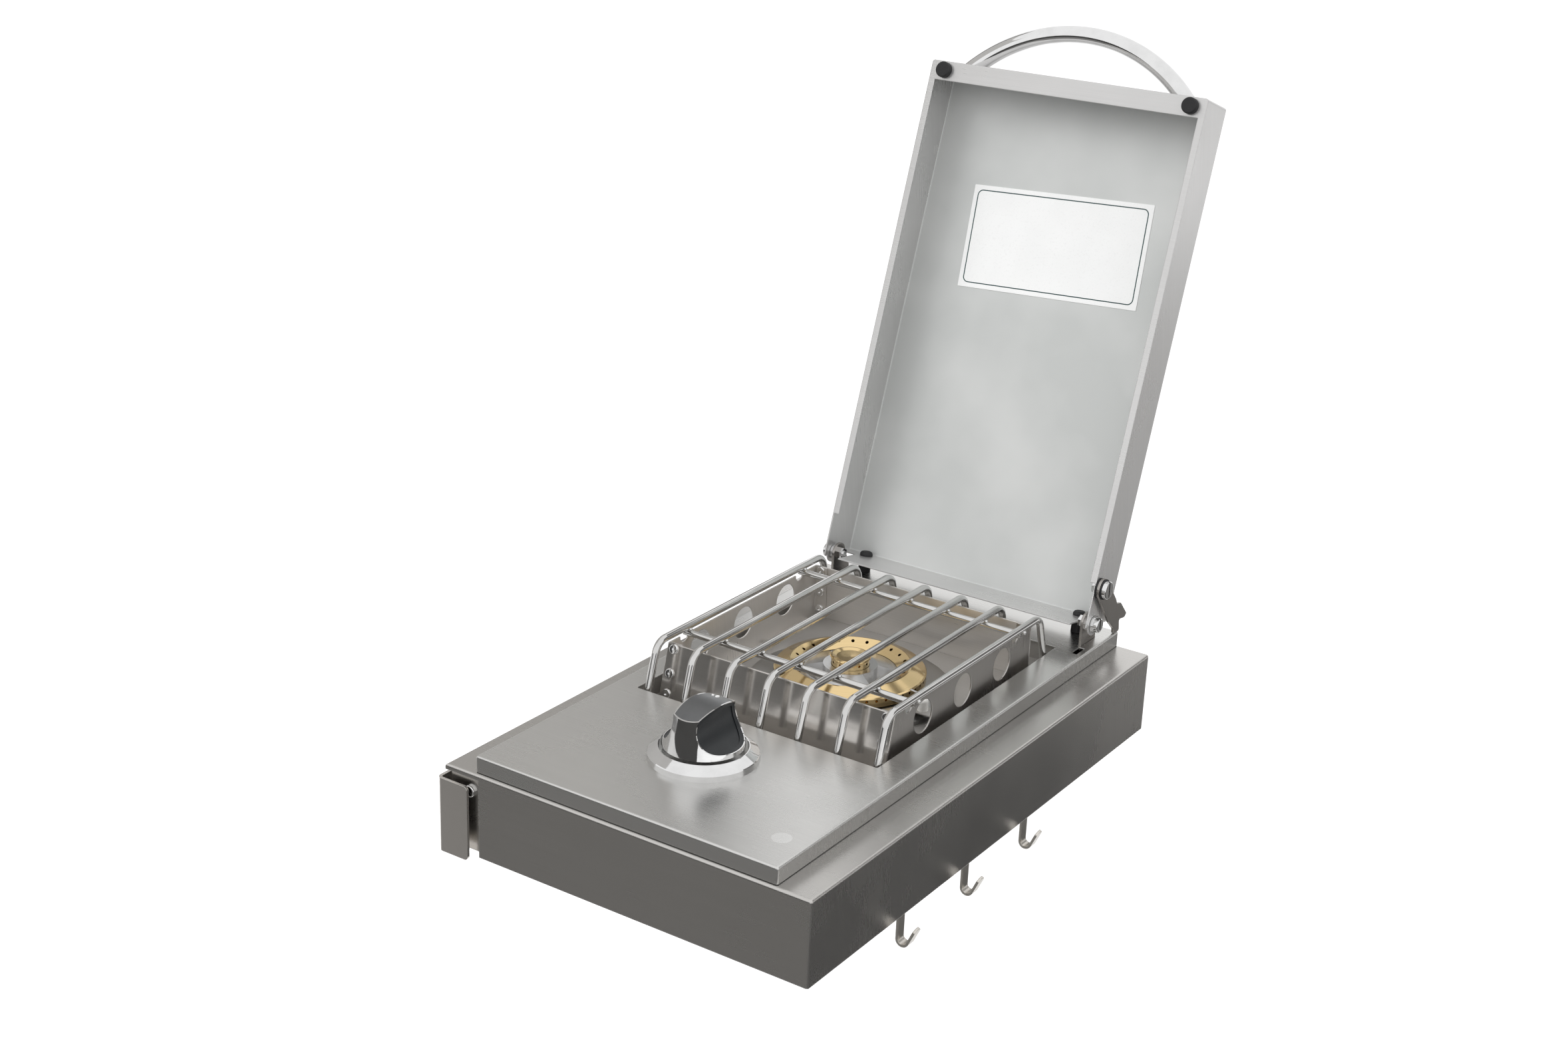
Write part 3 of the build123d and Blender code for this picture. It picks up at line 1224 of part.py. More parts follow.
stay = fillet(stay.edges().filter_by(Axis.X), STAY_CORNER_R)
stay += rod((stay_x0, *STAY_HEAD), (1, 0, 0), STAY_HEAD_R, PLATE)
stay_hole = rod((wall_in - 5, *STAY_HEAD), (1, 0, 0), THREAD_R, 20.0)
stay -= stay_hole
STAY_NUT_H = 3.0
inner_washer = rod((wall_out, *STAY_HEAD), (1, 0, 0), WASHER_R + 1.0, STAY_SPACE) - stay_hole
outer_washer = rod((stay_x1, *STAY_HEAD), (1, 0, 0), WASHER_R + 1.0, WASHER_T) - stay_hole
head_x = stay_x1 + WASHER_T


def cheese_head(x, y, z, radius, height):
    """A round bolt head with a driver slot, starting at X and running outwards."""
    head = rod((x, y, z), (1, 0, 0), radius, height)
    crown = [e for e in head.edges() if abs(e.center().X - x - height) < 0.01]
    head = fillet(crown, 0.8)
    x0 = x + height - SLOT_DEPTH
    return head - block(x0, x + height + 1, y - SLOT_W / 2, y + SLOT_W / 2, z - radius - 1, z + radius + 1)


stay_bolt = rod((wall_in - STAY_NUT_H, *STAY_HEAD), (1, 0, 0), THREAD_R, head_x - wall_in + STAY_NUT_H)
stay_bolt += cheese_head(head_x, *STAY_HEAD, STAY_BOLT_R, STAY_BOLT_H)
stay_nut = hexagon((wall_in, *STAY_HEAD), (-1, 0, 0), NUT_AF, STAY_NUT_H) - stay_hole
lid_shell = in_lid(shell) - stay_hole

# Hinge ears through the deck, shoulder bolts, washers, spacers and nuts
ear_out = CENTRE_X + EAR_X
ear_in = ear_out - PLATE
ear_right = slab(
    [
        (HINGE_Y - EAR_FRONT, under_deck),
        (HINGE_Y - EAR_FRONT, HINGE_Z),
        (HINGE_Y + EAR_R * 0.8, HINGE_Z + EAR_R * 0.6),
        (HINGE_Y + EAR_REAR, DECK_TOP + 3.0),
        (HINGE_Y + EAR_REAR, under_deck),
    ],
    ear_in,
    ear_out,
)
ear_right += rod((ear_in, HINGE_Y, HINGE_Z), (1, 0, 0), EAR_R, PLATE)
ear_right += block(
    ear_in - EAR_FOOT, ear_out, HINGE_Y - EAR_FRONT, HINGE_Y + EAR_REAR, under_deck - PLATE, under_deck
)
ear_right -= rod((ear_in - 1, HINGE_Y, HINGE_Z), (1, 0, 0), THREAD_R, 2 * PLATE)
spacer_end = wall_in - MOVE_GAP
hinge_spacer = rod((ear_out, HINGE_Y, HINGE_Z), (1, 0, 0), WASHER_R - 1.0, spacer_end - ear_out)
hinge_spacer -= rod((ear_out - 1, HINGE_Y, HINGE_Z), (1, 0, 0), SHOULDER_R, spacer_end - ear_out + 2)
washer_x = wall_out + MOVE_GAP
hinge_washer = rod((washer_x, HINGE_Y, HINGE_Z), (1, 0, 0), WASHER_R, WASHER_T)
hinge_washer -= rod((washer_x - 1, HINGE_Y, HINGE_Z), (1, 0, 0), SHOULDER_R, WASHER_T + 2)
hinge_bolt = rod((ear_out, HINGE_Y, HINGE_Z), (1, 0, 0), SHOULDER_R, washer_x + WASHER_T - ear_out)
hinge_bolt += rod((ear_in - NUT_H - 1.0, HINGE_Y, HINGE_Z), (1, 0, 0), THREAD_R, PLATE + NUT_H + 1.5)
hinge_bolt += cheese_head(washer_x + WASHER_T, HINGE_Y, HINGE_Z, BOLT_HEAD_R, BOLT_HEAD_H)
hinge_nut = hexagon((ear_in, HINGE_Y, HINGE_Z), (-1, 0, 0), NUT_AF, NUT_H)
hinge_nut -= rod((ear_in + 1, HINGE_Y, HINGE_Z), (-1, 0, 0), THREAD_R, 2 * NUT_H)

# Tool hooks inside the right-hand wall
hook_x = SHELF_X1 - SHEET - HOOK_T / 2
arc_r = HOOK_BEND_R + HOOK_T / 2
bend_z = HOOK_BOTTOM + HOOK_T / 2 + arc_r
tip_angle = math.radians(HOOK_TIP_ANGLE)
tip_x = hook_x + arc_r + arc_r * math.sin(tip_angle)
tip_z = bend_z - arc_r * math.cos(tip_angle)
end_x = tip_x + HOOK_TIP * math.cos(tip_angle)
end_z = tip_z + HOOK_TIP * math.sin(tip_angle)
hook_line = Line((hook_x, 0, HOOK_TOP), (hook_x, 0, bend_z))
hook_arc = TangentArc((hook_x, 0, bend_z), (tip_x, 0, tip_z), tangent=(0, 0, -1))
hook_end = Line((tip_x, 0, tip_z), (end_x, 0, end_z))
hook_path = Wire([hook_line, hook_arc, hook_end])
hook_plane = Plane(origin=(hook_x, 0, HOOK_TOP), x_dir=(1, 0, 0), z_dir=(0, 0, -1))
hook = sweep(hook_plane * Rectangle(HOOK_T, HOOK_W), path=hook_path)
tip_corners = [
    e
    for e in hook.edges()
    if math.hypot(e.center().X - end_x, e.center().Z - end_z) < 0.01 and abs(e.center().Y) > 1
]
hook = chamfer(tip_corners, HOOK_CORNER)
hooks = [Pos(0, y, 0) * hook for y in HOOKS_Y]

nodes = {
    "shelf": shelf,
    "bracket_front": bracket,
    "bracket_rear": front_to_back(bracket),
    "bracket_spacers": group(spacers),
    "bracket_screws": group(bracket_screws),
    "corner_screws": group(corner_screws),
    "hooks": group(hooks),
    "deck": deck,
    "deck_screws": group(deck_screws),
    "pan": pan,
    "guard_front": guard_front,
    "guard_rear": guard_rear,
    "guard_left": guard_left,
    "guard_right": guard_right,
    "guard_rivets": group(guard_rivets),
    "guard_screws": group(guard_screws),
    "grate_bars": group(grate_bars),
    "grate_rods": group(grate_rods),
    "burner_base": burner_base,
    "burner_bowl": burner_bowl,
    "burner_ring": burner_ring,
    "burner_cap": burner_cap,
    "mixing_tube": mixing_tube,
    "air_shutter": air_shutter,
    "orifice": orifice,
    "valve_body": valve_body,
    "valve_bracket": valve_bracket,
    "clamp_nut": clamp_nut,
    "gas_inlet": gas_inlet,
    "igniter_insulator": igniter_insulator,
    "igniter_electrode": igniter_electrode,
    "igniter_bracket": igniter_bracket,
    "bezel": bezel,
    "bezel_screws": group(bezel_screws),
    "valve_stem": valve_stem,
    "stem_collar": stem_collar,
    "stem_clip": stem_clip,
    "knob_body": knob_body,
    "knob_grips": group(knob_grips),
    "knob_plate": knob_plate,
    "lid_shell": lid_shell,
    "handle": in_lid(handle),
    "handle_plugs": group([in_lid(handle_plugs)]),
    "handle_screws": group(handle_screws),
    "bumpers_front": group(bumpers_front),
    "bumpers_rear": group(bumpers_rear),
    "stay": stay,
    "stay_bolt": stay_bolt,
    "stay_washers": group([inner_washer, outer_washer]),
    "stay_nut": stay_nut,
    "ear_left": mirrored(ear_right),
    "ear_right": ear_right,
    "hinge_bolts": group([hinge_bolt, mirrored(hinge_bolt)]),
    "hinge_washers": group([hinge_washer, mirrored(hinge_washer)]),
    "hinge_spacers": group([hinge_spacer, mirrored(hinge_spacer)]),
    "hinge_nuts": group([hinge_nut, mirrored(hinge_nut)]),
}

os.makedirs("parts", exist_ok=True)
for name, shape in nodes.items():
    export_step(shape, f"parts/{name}.step")
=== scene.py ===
"""Looks for the side burner: materials, small trim, studio light and the photograph's camera."""

import math

import bmesh
import bpy
from mathutils import Matrix, Vector


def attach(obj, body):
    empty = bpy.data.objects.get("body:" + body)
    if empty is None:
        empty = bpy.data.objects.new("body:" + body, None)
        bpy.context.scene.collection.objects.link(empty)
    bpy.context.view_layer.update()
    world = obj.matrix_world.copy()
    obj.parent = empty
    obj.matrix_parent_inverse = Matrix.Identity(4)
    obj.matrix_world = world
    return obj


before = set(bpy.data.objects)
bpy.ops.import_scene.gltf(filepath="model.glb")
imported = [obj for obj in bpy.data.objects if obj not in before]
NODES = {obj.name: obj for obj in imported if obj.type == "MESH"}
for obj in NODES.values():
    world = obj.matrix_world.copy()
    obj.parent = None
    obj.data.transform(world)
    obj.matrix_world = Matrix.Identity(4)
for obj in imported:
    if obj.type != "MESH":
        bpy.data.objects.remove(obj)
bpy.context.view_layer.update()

# Places on the object, in metres
MM = 0.001
CENTRE_X = 0.150
WELL_X = 0.1475
BURNER_AXIS = (WELL_X, 0.043, 0.0)
DECK_TOP = 0.051
DECK_FOOT = 0.039
KNOB_Y = -0.1325
KNOB_TOP = 90.0 * MM
KNOB_DOME_R = 52.0 * MM
HINGE = Vector((CENTRE_X, 0.18855, 0.0674))
OPEN_ANGLE = math.radians(108.58)
LID_INNER = 0.0245
LID_PLACE = Matrix.Translation(HINGE) @ Matrix.Rotation(-OPEN_ANGLE, 4, "X")

# Noises: scale per metre, detail and roughness
CLOUDS = (8.0, 4.0, 0.55)
PANEL_CLOUDS = (11.0, 3.0, 0.45)
RINGS = (1800.0, 3.0, 0.5)
HEAT = (45.0, 3.0, 0.5)
SMEARS = (60.0, 4.0, 0.6)
FINE_GRAIN = (420.0, 3.0, 0.5)
TONES = (35.0, 3.0, 0.5)
# The streaks' position is scaled beforehand, and each plain look has its own scale of specks
STREAKS = (1.0, 2.0, 0.6)
SPECKS = (3.0, 0.6)

# Spans of a noise's values that are drawn out to a full change
UNIT = (0.0, 1.0)
MIDDLE_SPAN = (0.3, 0.7)
UPPER_SPAN = (0.35, 0.7)
STAIN_SPAN = (0.45, 0.75)
HEAT_SPAN = (0.5, 0.8)
SMEAR_SPAN = (0.4, 0.75)
PANEL_SPAN = (0.38, 0.66)

# Brushed sheet: scales along and across the brush, and tones as shares of the colour
BRUSH_LEAN = (0.0, 1.0, 0.15)
LINE_SCALES = (7.0, 900.0)
BAND_SCALES = (2.5, 200.0)
LIGHT_TONE = 1.03
DARK_TONE = 0.96
STAIN_TONE = 0.92
BAND_SHARE = 0.3
STAIN_SHARE = 0.6
LINE_ROUGH = (-0.008, 0.008)
CLOUD_ROUGH = (-0.03, 0.04)
LINE_BUMP = 0.004
LINE_DEPTH = 0.1 * MM
EDGE_R = 0.9 * MM
EDGE_SAMPLES = 4

# Turned metal
DULL_TINT = (0.9, 0.882, 0.846)
HEAT_SHARE = 0.35
RING_ROUGH = (-0.03, 0.04)
RING_BUMP = 0.06
RING_DEPTH = 0.1 * MM

# The lid's inner panel
LID_METAL = 0.7
PANEL_METAL = 0.3
PANEL_ROUGH = 0.5
PANEL_BAND = 0.4 * MM
PANEL_DARK = (0.60, 0.615, 0.605)
PANEL_LIGHT = (0.70, 0.71, 0.70)

# The deck's painted shadow line along its foot, and its round mark
PAINTED_SHADOW_H = 0.6 * MM
PAINTED_SHADOW_TONE = 0.12
MARK_AT = (0.249, -0.1907, DECK_TOP)
MARK_R = 6.9 * MM
MARK_EDGE = 0.8 * MM
MARK_SHARE = 0.55
MARK_COLOUR = (0.86, 0.86, 0.85)

# Polished metal, and rubber, plastic and ceramic
SMEAR_TONE = 0.88
GRAIN_DEPTH = 0.2 * MM
PALE_LIFT = 0.004
SPECK_ROUGH = (-0.06, 0.08)
SPECK_DEPTH = 0.3 * MM

# Sockets of the Mix node, which share their names
MIX_NUMBERS = (2, 3)
MIX_NUMBER_OUT = 0
MIX_COLOURS = (6, 7)
MIX_COLOUR_OUT = 2


def new_material(name):
    """A material with its node tree and its shader."""
    material = bpy.data.materials.new(name)
    material.use_nodes = True
    tree = material.node_tree
    shader = tree.nodes["Principled BSDF"]
    return material, tree, shader


def link(tree, source, target):
    """A link between two sockets."""
    tree.links.new(source, target)


def feed(tree, socket, value):
    """A socket set to a plain number or vector, or linked to another socket."""
    if isinstance(value, (int, float, tuple)):
        socket.default_value = value
    else:
        link(tree, value, socket)


def shade(colour, share):
    """A colour made lighter or darker."""
    return tuple(share * value for value in colour)


def around(middle, spread):
    """A range about a number."""
    return tuple(middle + value for value in spread)


def object_position(tree):
    """The position in the piece's own coordinates."""
    return tree.nodes.new("ShaderNodeTexCoord").outputs["Object"]


def noise(tree, position, recipe):
    """Noise of a scale, detail and roughness."""
    node = tree.nodes.new("ShaderNodeTexNoise")
    for socket, value in zip(("Scale", "Detail", "Roughness"), recipe):
        node.inputs[socket].default_value = value
    link(tree, position, node.inputs["Vector"])
    return node.outputs["Fac"]


def remap(tree, value, result, span=MIDDLE_SPAN):
    """A value taken from a span to a range of results."""
    node = tree.nodes.new("ShaderNodeMapRange")
    for socket, number in zip(("From Min", "From Max", "To Min", "To Max"), (*span, *result)):
        node.inputs[socket].default_value = number
    link(tree, value, node.inputs["Value"])
    return node.outputs["Result"]


def mix_colour(tree, factor, first, second):
    """Two plain colours or colour sockets mixed by a factor."""
    node = tree.nodes.new("ShaderNodeMix")
    node.data_type = "RGBA"
    link(tree, factor, node.inputs["Factor"])
    for index, value in zip(MIX_COLOURS, (first, second)):
        opaque = (*value, 1.0) if isinstance(value, tuple) else value
        feed(tree, node.inputs[index], opaque)
    return node.outputs[MIX_COLOUR_OUT]


def blend(tree, factor, first, second):
    """Plain numbers or sockets mixed by a factor."""
    node = tree.nodes.new("ShaderNodeMix")
    link(tree, factor, node.inputs["Factor"])
    for index, value in zip(MIX_NUMBERS, (first, second)):
        feed(tree, node.inputs[index], value)
    return node.outputs[MIX_NUMBER_OUT]


def bump(tree, height, strength, distance, normal=None):
    """A normal tilted by a height, over the face's own or a given normal."""
    node = tree.nodes.new("ShaderNodeBump")
    node.inputs["Strength"].default_value = strength
    node.inputs["Distance"].default_value = distance
    link(tree, height, node.inputs["Height"])
    if normal is not None:
        link(tree, normal, node.inputs["Normal"])
    return node.outputs["Normal"]


def soft_edges(tree):
    """Normals that turn smoothly over the sharp edges of folded sheet."""
    node = tree.nodes.new("ShaderNodeBevel")
    node.samples = EDGE_SAMPLES
    node.inputs["Radius"].default_value = EDGE_R
    return node.outputs["Normal"]


def maths(tree, operation, *values):
    """A Math node on sockets or plain numbers."""
    node = tree.nodes.new("ShaderNodeMath")
    node.operation = operation
    for socket, value in zip(node.inputs, values):
        feed(tree, socket, value)
    return node.outputs["Value"]


def vector_maths(tree, operation, *values):
    """A Vector Math node on sockets or plain vectors."""
    node = tree.nodes.new("ShaderNodeVectorMath")
    node.operation = operation
    for socket, value in zip(node.inputs, values):
        feed(tree, socket, value)
    return node.outputs["Value" if operation in ("DOT_PRODUCT", "DISTANCE") else "Vector"]


def brush_frame(tree):
    """The position, the brush's direction, and the way along and across it, on whichever face."""
    position = object_position(tree)
    facing = tree.nodes.new("ShaderNodeVectorTransform")
    facing.vector_type = "NORMAL"
    facing.convert_from = "WORLD"
    facing.convert_to = "OBJECT"
    geometry = tree.nodes.new("ShaderNodeNewGeometry")
    link(tree, geometry.outputs["True Normal"], facing.inputs["Vector"])
    normal = facing.outputs["Vector"]
    along = vector_maths(tree, "NORMALIZE", vector_maths(tree, "CROSS_PRODUCT", normal, BRUSH_LEAN))
    across = vector_maths(tree, "CROSS_PRODUCT", normal, along)
    u = vector_maths(tree, "DOT_PRODUCT", position, along)
    v = vector_maths(tree, "DOT_PRODUCT", position, across)
    return position, along, u, v


def streaks(tree, u, v, scales):
    """Noise drawn out along the brush."""
    spot = tree.nodes.new("ShaderNodeCombineXYZ")
    for socket, way, scale in zip(spot.inputs, (u, v), scales):
        link(tree, maths(tree, "MULTIPLY", way, scale), socket)
    return noise(tree, spot.outputs["Vector"], STREAKS)


def brushed(name, colour, rough, anisotropy=0.5, metal=1.0):
    """Brushed sheet metal: fine lines along the brush, broader streaks and faint clouds."""
    material, tree, shader = new_material(name)
    position, along, u, v = brush_frame(tree)
    lines = streaks(tree, u, v, LINE_SCALES)
    bands = streaks(tree, u, v, BAND_SCALES)
    clouds = noise(tree, position, CLOUDS)
    dark = shade(colour, DARK_TONE)
    tone = mix_colour(tree, remap(tree, lines, UNIT), dark, shade(colour, LIGHT_TONE))
    tone = mix_colour(tree, remap(tree, bands, (0.0, BAND_SHARE)), tone, dark)
    stained = remap(tree, clouds, (0.0, STAIN_SHARE), STAIN_SPAN)
    tone = mix_colour(tree, stained, tone, shade(colour, STAIN_TONE))
    link(tree, tone, shader.inputs["Base Color"])
    shader.inputs["Metallic"].default_value = metal
    shader.inputs["Anisotropic"].default_value = anisotropy
    line_rough = remap(tree, lines, around(rough, LINE_ROUGH))
    cloud_rough = remap(tree, clouds, CLOUD_ROUGH, UPPER_SPAN)
    link(tree, maths(tree, "ADD", line_rough, cloud_rough), shader.inputs["Roughness"])
    link(tree, along, shader.inputs["Tangent"])
    grooves = bump(tree, lines, LINE_BUMP, LINE_DEPTH, soft_edges(tree))
    link(tree, grooves, shader.inputs["Normal"])
    return material


def turned(name, colour, rough):
    """Metal turned on a lathe: fine rings about the burner's axis, with faint marks of heat."""
    material, tree, shader = new_material(name)
    position = object_position(tree)
    flat = vector_maths(tree, "MULTIPLY", position, (1.0, 1.0, 0.0))
    spot = tree.nodes.new("ShaderNodeCombineXYZ")
    link(tree, vector_maths(tree, "DISTANCE", flat, BURNER_AXIS), spot.inputs["X"])
    rings = noise(tree, spot.outputs["Vector"], RINGS)
    heat = noise(tree, position, HEAT)
    dull = tuple(value * tint for value, tint in zip(colour, DULL_TINT))
    tone = mix_colour(tree, remap(tree, rings, UNIT), colour, dull)
    heated = remap(tree, heat, (0.0, HEAT_SHARE), HEAT_SPAN)
    link(tree, mix_colour(tree, heated, tone, dull), shader.inputs["Base Color"])
    shader.inputs["Metallic"].default_value = 1.0
    link(tree, remap(tree, rings, around(rough, RING_ROUGH)), shader.inputs["Roughness"])
    link(tree, bump(tree, rings, RING_BUMP, RING_DEPTH), shader.inputs["Normal"])
    return material


def recolour(material, mask, colour):
    """A second colour over a metal, as far as a mask says."""
    tree = material.node_tree
    socket = tree.nodes["Principled BSDF"].inputs["Base Color"]
    old = socket.links[0].from_socket
    link(tree, mix_colour(tree, mask, old, colour), socket)


def lid_metal(name, colour, rough):
    """Lid sheet: brushed outside, and a paler matt finish on the flat inner panel."""
    material = brushed(name, colour, rough, anisotropy=0.4, metal=LID_METAL)
    tree = material.node_tree
    shader = tree.nodes["Principled BSDF"]
    position = object_position(tree)
    normal = (LID_PLACE.to_3x3() @ Vector((0.0, 0.0, 1.0))).normalized()
    level = (LID_PLACE @ Vector((0.0, 0.0, LID_INNER))).dot(normal)
    depth = vector_maths(tree, "DOT_PRODUCT", position, tuple(normal))
    off = maths(tree, "ABSOLUTE", maths(tree, "SUBTRACT", depth, level))
    panel = maths(tree, "LESS_THAN", off, PANEL_BAND)
    clouds = remap(tree, noise(tree, position, PANEL_CLOUDS), UNIT, PANEL_SPAN)
    recolour(material, panel, mix_colour(tree, clouds, PANEL_DARK, PANEL_LIGHT))
    old_rough = shader.inputs["Roughness"].links[0].from_socket
    link(tree, blend(tree, panel, old_rough, PANEL_ROUGH), shader.inputs["Roughness"])
    link(tree, remap(tree, panel, (LID_METAL, PANEL_METAL), UNIT), shader.inputs["Metallic"])
    return material


def deck_metal(name, colour, rough):
    """Deck sheet: brushed, with painted shadow as a dark line along its foot and a pale round mark by
    the front corner.
    """
    material = brushed(name, colour, rough, anisotropy=0.3)
    tree = material.node_tree
    position = object_position(tree)
    parts = tree.nodes.new("ShaderNodeSeparateXYZ")
    link(tree, position, parts.inputs["Vector"])
    # Painted shadow: the lowest 0.6 mm of the deck's walls is darkened for the shade in the gap above
    # the shelf
    painted_shadow = maths(tree, "LESS_THAN", parts.outputs["Z"], DECK_FOOT + PAINTED_SHADOW_H)
    recolour(material, painted_shadow, shade(colour, PAINTED_SHADOW_TONE))
    reach = vector_maths(tree, "DISTANCE", position, MARK_AT)
    mark = remap(tree, reach, (MARK_SHARE, 0.0), (MARK_R - MARK_EDGE, MARK_R))
    recolour(material, mark, MARK_COLOUR)
    return material


def polished(name, colour, rough, wear, grain=0.006):
    """Bright metal with slight smears."""
    material, tree, shader = new_material(name)
    position = object_position(tree)
    smears = noise(tree, position, SMEARS)
    smeared = remap(tree, smears, UNIT, SMEAR_SPAN)
    tone = mix_colour(tree, smeared, colour, shade(colour, SMEAR_TONE))
    link(tree, tone, shader.inputs["Base Color"])
    link(tree, remap(tree, smears, (rough, rough + wear), UPPER_SPAN), shader.inputs["Roughness"])
    shader.inputs["Metallic"].default_value = 1.0
    fine = noise(tree, position, FINE_GRAIN)
    link(tree, bump(tree, fine, grain, GRAIN_DEPTH), shader.inputs["Normal"])
    return material


def plain(name, colour, rough, grain=900.0, depth=0.06, spread=0.12):
    """Rubber, plastic, ceramic or paint with a fine grain."""
    material, tree, shader = new_material(name)
    position = object_position(tree)
    specks = noise(tree, position, (grain, *SPECKS))
    tones = remap(tree, noise(tree, position, TONES), UNIT, UPPER_SPAN)
    pale = tuple(min(1.0, value * (1.0 + spread) + PALE_LIFT) for value in colour)
    link(tree, mix_colour(tree, tones, colour, pale), shader.inputs["Base Color"])
    link(tree, remap(tree, specks, around(rough, SPECK_ROUGH)), shader.inputs["Roughness"])
    link(tree, bump(tree, specks, depth, SPECK_DEPTH), shader.inputs["Normal"])
    return material


STEEL = brushed("steel_brushed", (0.60, 0.585, 0.565), 0.26)
STEEL_DARK = brushed("steel_small_parts", (0.42, 0.40, 0.38), 0.24)
STEEL_DECK = deck_metal("steel_deck", (0.70, 0.695, 0.68), 0.26)
STEEL_LID = lid_metal("steel_lid", (0.66, 0.655, 0.65), 0.28)
STEEL_GUARD = brushed("steel_guard", (0.70, 0.675, 0.645), 0.30, anisotropy=0.3, metal=0.65)
STEEL_FRONT = brushed("steel_guard_front", (0.72, 0.69, 0.655), 0.13, anisotropy=0.4, metal=0.9)
STEEL_SIDE = brushed("steel_guard_side", (0.54, 0.52, 0.50), 0.28, anisotropy=0.3)
STEEL_PAN = brushed("steel_pan", (0.44, 0.425, 0.405), 0.36, anisotropy=0.2, metal=0.55)
HOOK = brushed("steel_hooks", (0.74, 0.71, 0.66), 0.34, anisotropy=0.2)
CHROME = polished("chrome", (0.80, 0.80, 0.80), 0.04, wear=0.03)
WIRE = polished("bright_wire", (0.68, 0.675, 0.665), 0.06, wear=0.04, grain=0.0005)
BRASS = turned("brass", (0.86, 0.66, 0.36), 0.13)
CAST = turned("cast_aluminium", (0.42, 0.42, 0.42), 0.34)
DISH = turned("turned_aluminium", (0.66, 0.665, 0.675), 0.24)
BRASS_FITTINGS = polished("brass_fittings", (0.80, 0.60, 0.32), 0.20, wear=0.08)
RUBBER = plain("rubber", (0.012, 0.012, 0.013), 0.6)
GRIP = plain("soft_grip", (0.012, 0.014, 0.016), 0.40, grain=1500.0, depth=0.05)
SATIN = polished("satin_plate", (0.20, 0.205, 0.21), 0.30, wear=0.06)
CERAMIC = plain("ceramic", (0.80, 0.79, 0.76), 0.25, grain=400.0, depth=0.02, spread=0.04)
PAPER = plain("white_plate", (0.90, 0.905, 0.90), 0.30, grain=700.0, depth=0.02, spread=0.03)
INK = plain("border_ink", (0.035, 0.075, 0.075), 0.45, grain=700.0, depth=0.02)

# Every other node is chrome
LOOKS = {
    "shelf": STEEL,
    "deck": STEEL_DECK,
    "lid_shell": STEEL_LID,
    "pan": STEEL_PAN,
    "guard_front": STEEL_FRONT,
    "guard_rear": STEEL_GUARD,
    "guard_left": STEEL_GUARD,
    "guard_right": STEEL_SIDE,
    "bracket_front": STEEL_FRONT,
    "bracket_rear": STEEL_FRONT,
    "stay": STEEL_DARK,
    "ear_left": STEEL_DARK,
    "ear_right": STEEL_DARK,
    "grate_bars": WIRE,
    "grate_rods": WIRE,
    "hooks": HOOK,
    "knob_grips": GRIP,
    "knob_plate": SATIN,
    "burner_ring": BRASS,
    "burner_cap": BRASS,
    "orifice": BRASS_FITTINGS,
    "valve_body": BRASS_FITTINGS,
    "gas_inlet": BRASS_FITTINGS,
    "clamp_nut": BRASS_FITTINGS,
    "burner_base": CAST,
    "burner_bowl": DISH,
    "bumpers_front": RUBBER,
    "bumpers_rear": RUBBER,
    "stay_washers": RUBBER,
    "stem_collar": GRIP,
    "handle_plugs": GRIP,
    "igniter_insulator": CERAMIC,
    "mixing_tube": STEEL_PAN,
    "air_shutter": STEEL_PAN,
    "valve_bracket": STEEL_PAN,
    "igniter_bracket": STEEL_PAN,
}

for name, node in NODES.items():
    node.data.materials.clear()
    node.data.materials.append(LOOKS.get(name, CHROME))


def mesh_object(name, mesh, look):
    """An object in the scene, from a mesh that is then let go."""
    data = bpy.data.meshes.new(name)
    mesh.to_mesh(data)
    mesh.free()
    data.materials.append(look)
    item = bpy.data.objects.new(name, data)
    bpy.context.collection.objects.link(item)
    return item


def mesh_piece(name, mesh, place, look, body):
    """A new piece of the object, put in its place, that rides on a body."""
    mesh.transform(place)
    item = mesh_object(name, mesh, look)
    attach(item, body)


def rounded_outline(half_w, half_h, radius, steps=6):
    """Points round a rectangle with round corners."""
    points = []
    for corner, (sx, sy) in enumerate(((1, 1), (-1, 1), (-1, -1), (1, -1))):
        for step in range(steps + 1):
            angle = math.radians(90.0 * (corner + step / steps))
            x = sx * (half_w - radius) + radius * math.cos(angle)
            y = sy * (half_h - radius) + radius * math.sin(angle)
            points.append((x, y))
    return points


def add_sheet(mesh, loops, z0, z1):
    """A flat solid between an outer loop and an optional inner loop, added to a mesh."""
    rings = []
    for z in (z0, z1):
        for loop in loops:
            rings.append([mesh.verts.new((x, y, z)) for x, y in loop])
    count = len(rings[0])
    if len(loops) == 1:
        mesh.faces.new(rings[0])
        mesh.faces.new(rings[1])
        pairs = ((0, 1),)
    else:
        pairs = ((0, 1), (2, 3), (0, 2), (1, 3))
    for first, second in pairs:
        for i in range(count):
            j = (i + 1) % count
            mesh.faces.new((rings[first][i], rings[first][j], rings[second][j], rings[second][i]))
    bmesh.ops.recalc_face_normals(mesh, faces=mesh.faces)


# Bare plate with a thin border on the lid's inner panel
PLATE_W = 149.9 * MM
PLATE_H = 78.5 * MM
PLATE_T = 0.35 * MM
PLATE_CORNER = 0.6 * MM
PLATE_TURN = math.radians(2.8)
PLATE_AT = Vector((3.0 * MM, -264.4 * MM, LID_INNER))
PLATE_PLACE = LID_PLACE @ Matrix.Translation(PLATE_AT) @ Matrix.Rotation(-PLATE_TURN, 4, "Z")
BORDER_INSET = 3.4 * MM
BORDER_LINE = 0.8 * MM
BORDER_CORNER = 4.5 * MM
BORDER_PROUD = 0.06 * MM
BORDER_SUNK = 0.02 * MM

mesh = bmesh.new()
add_sheet(mesh, [rounded_outline(PLATE_W / 2, PLATE_H / 2, PLATE_CORNER)], -PLATE_T, 0.0)
mesh_piece("label_plate", mesh, PLATE_PLACE, PAPER, "lid")

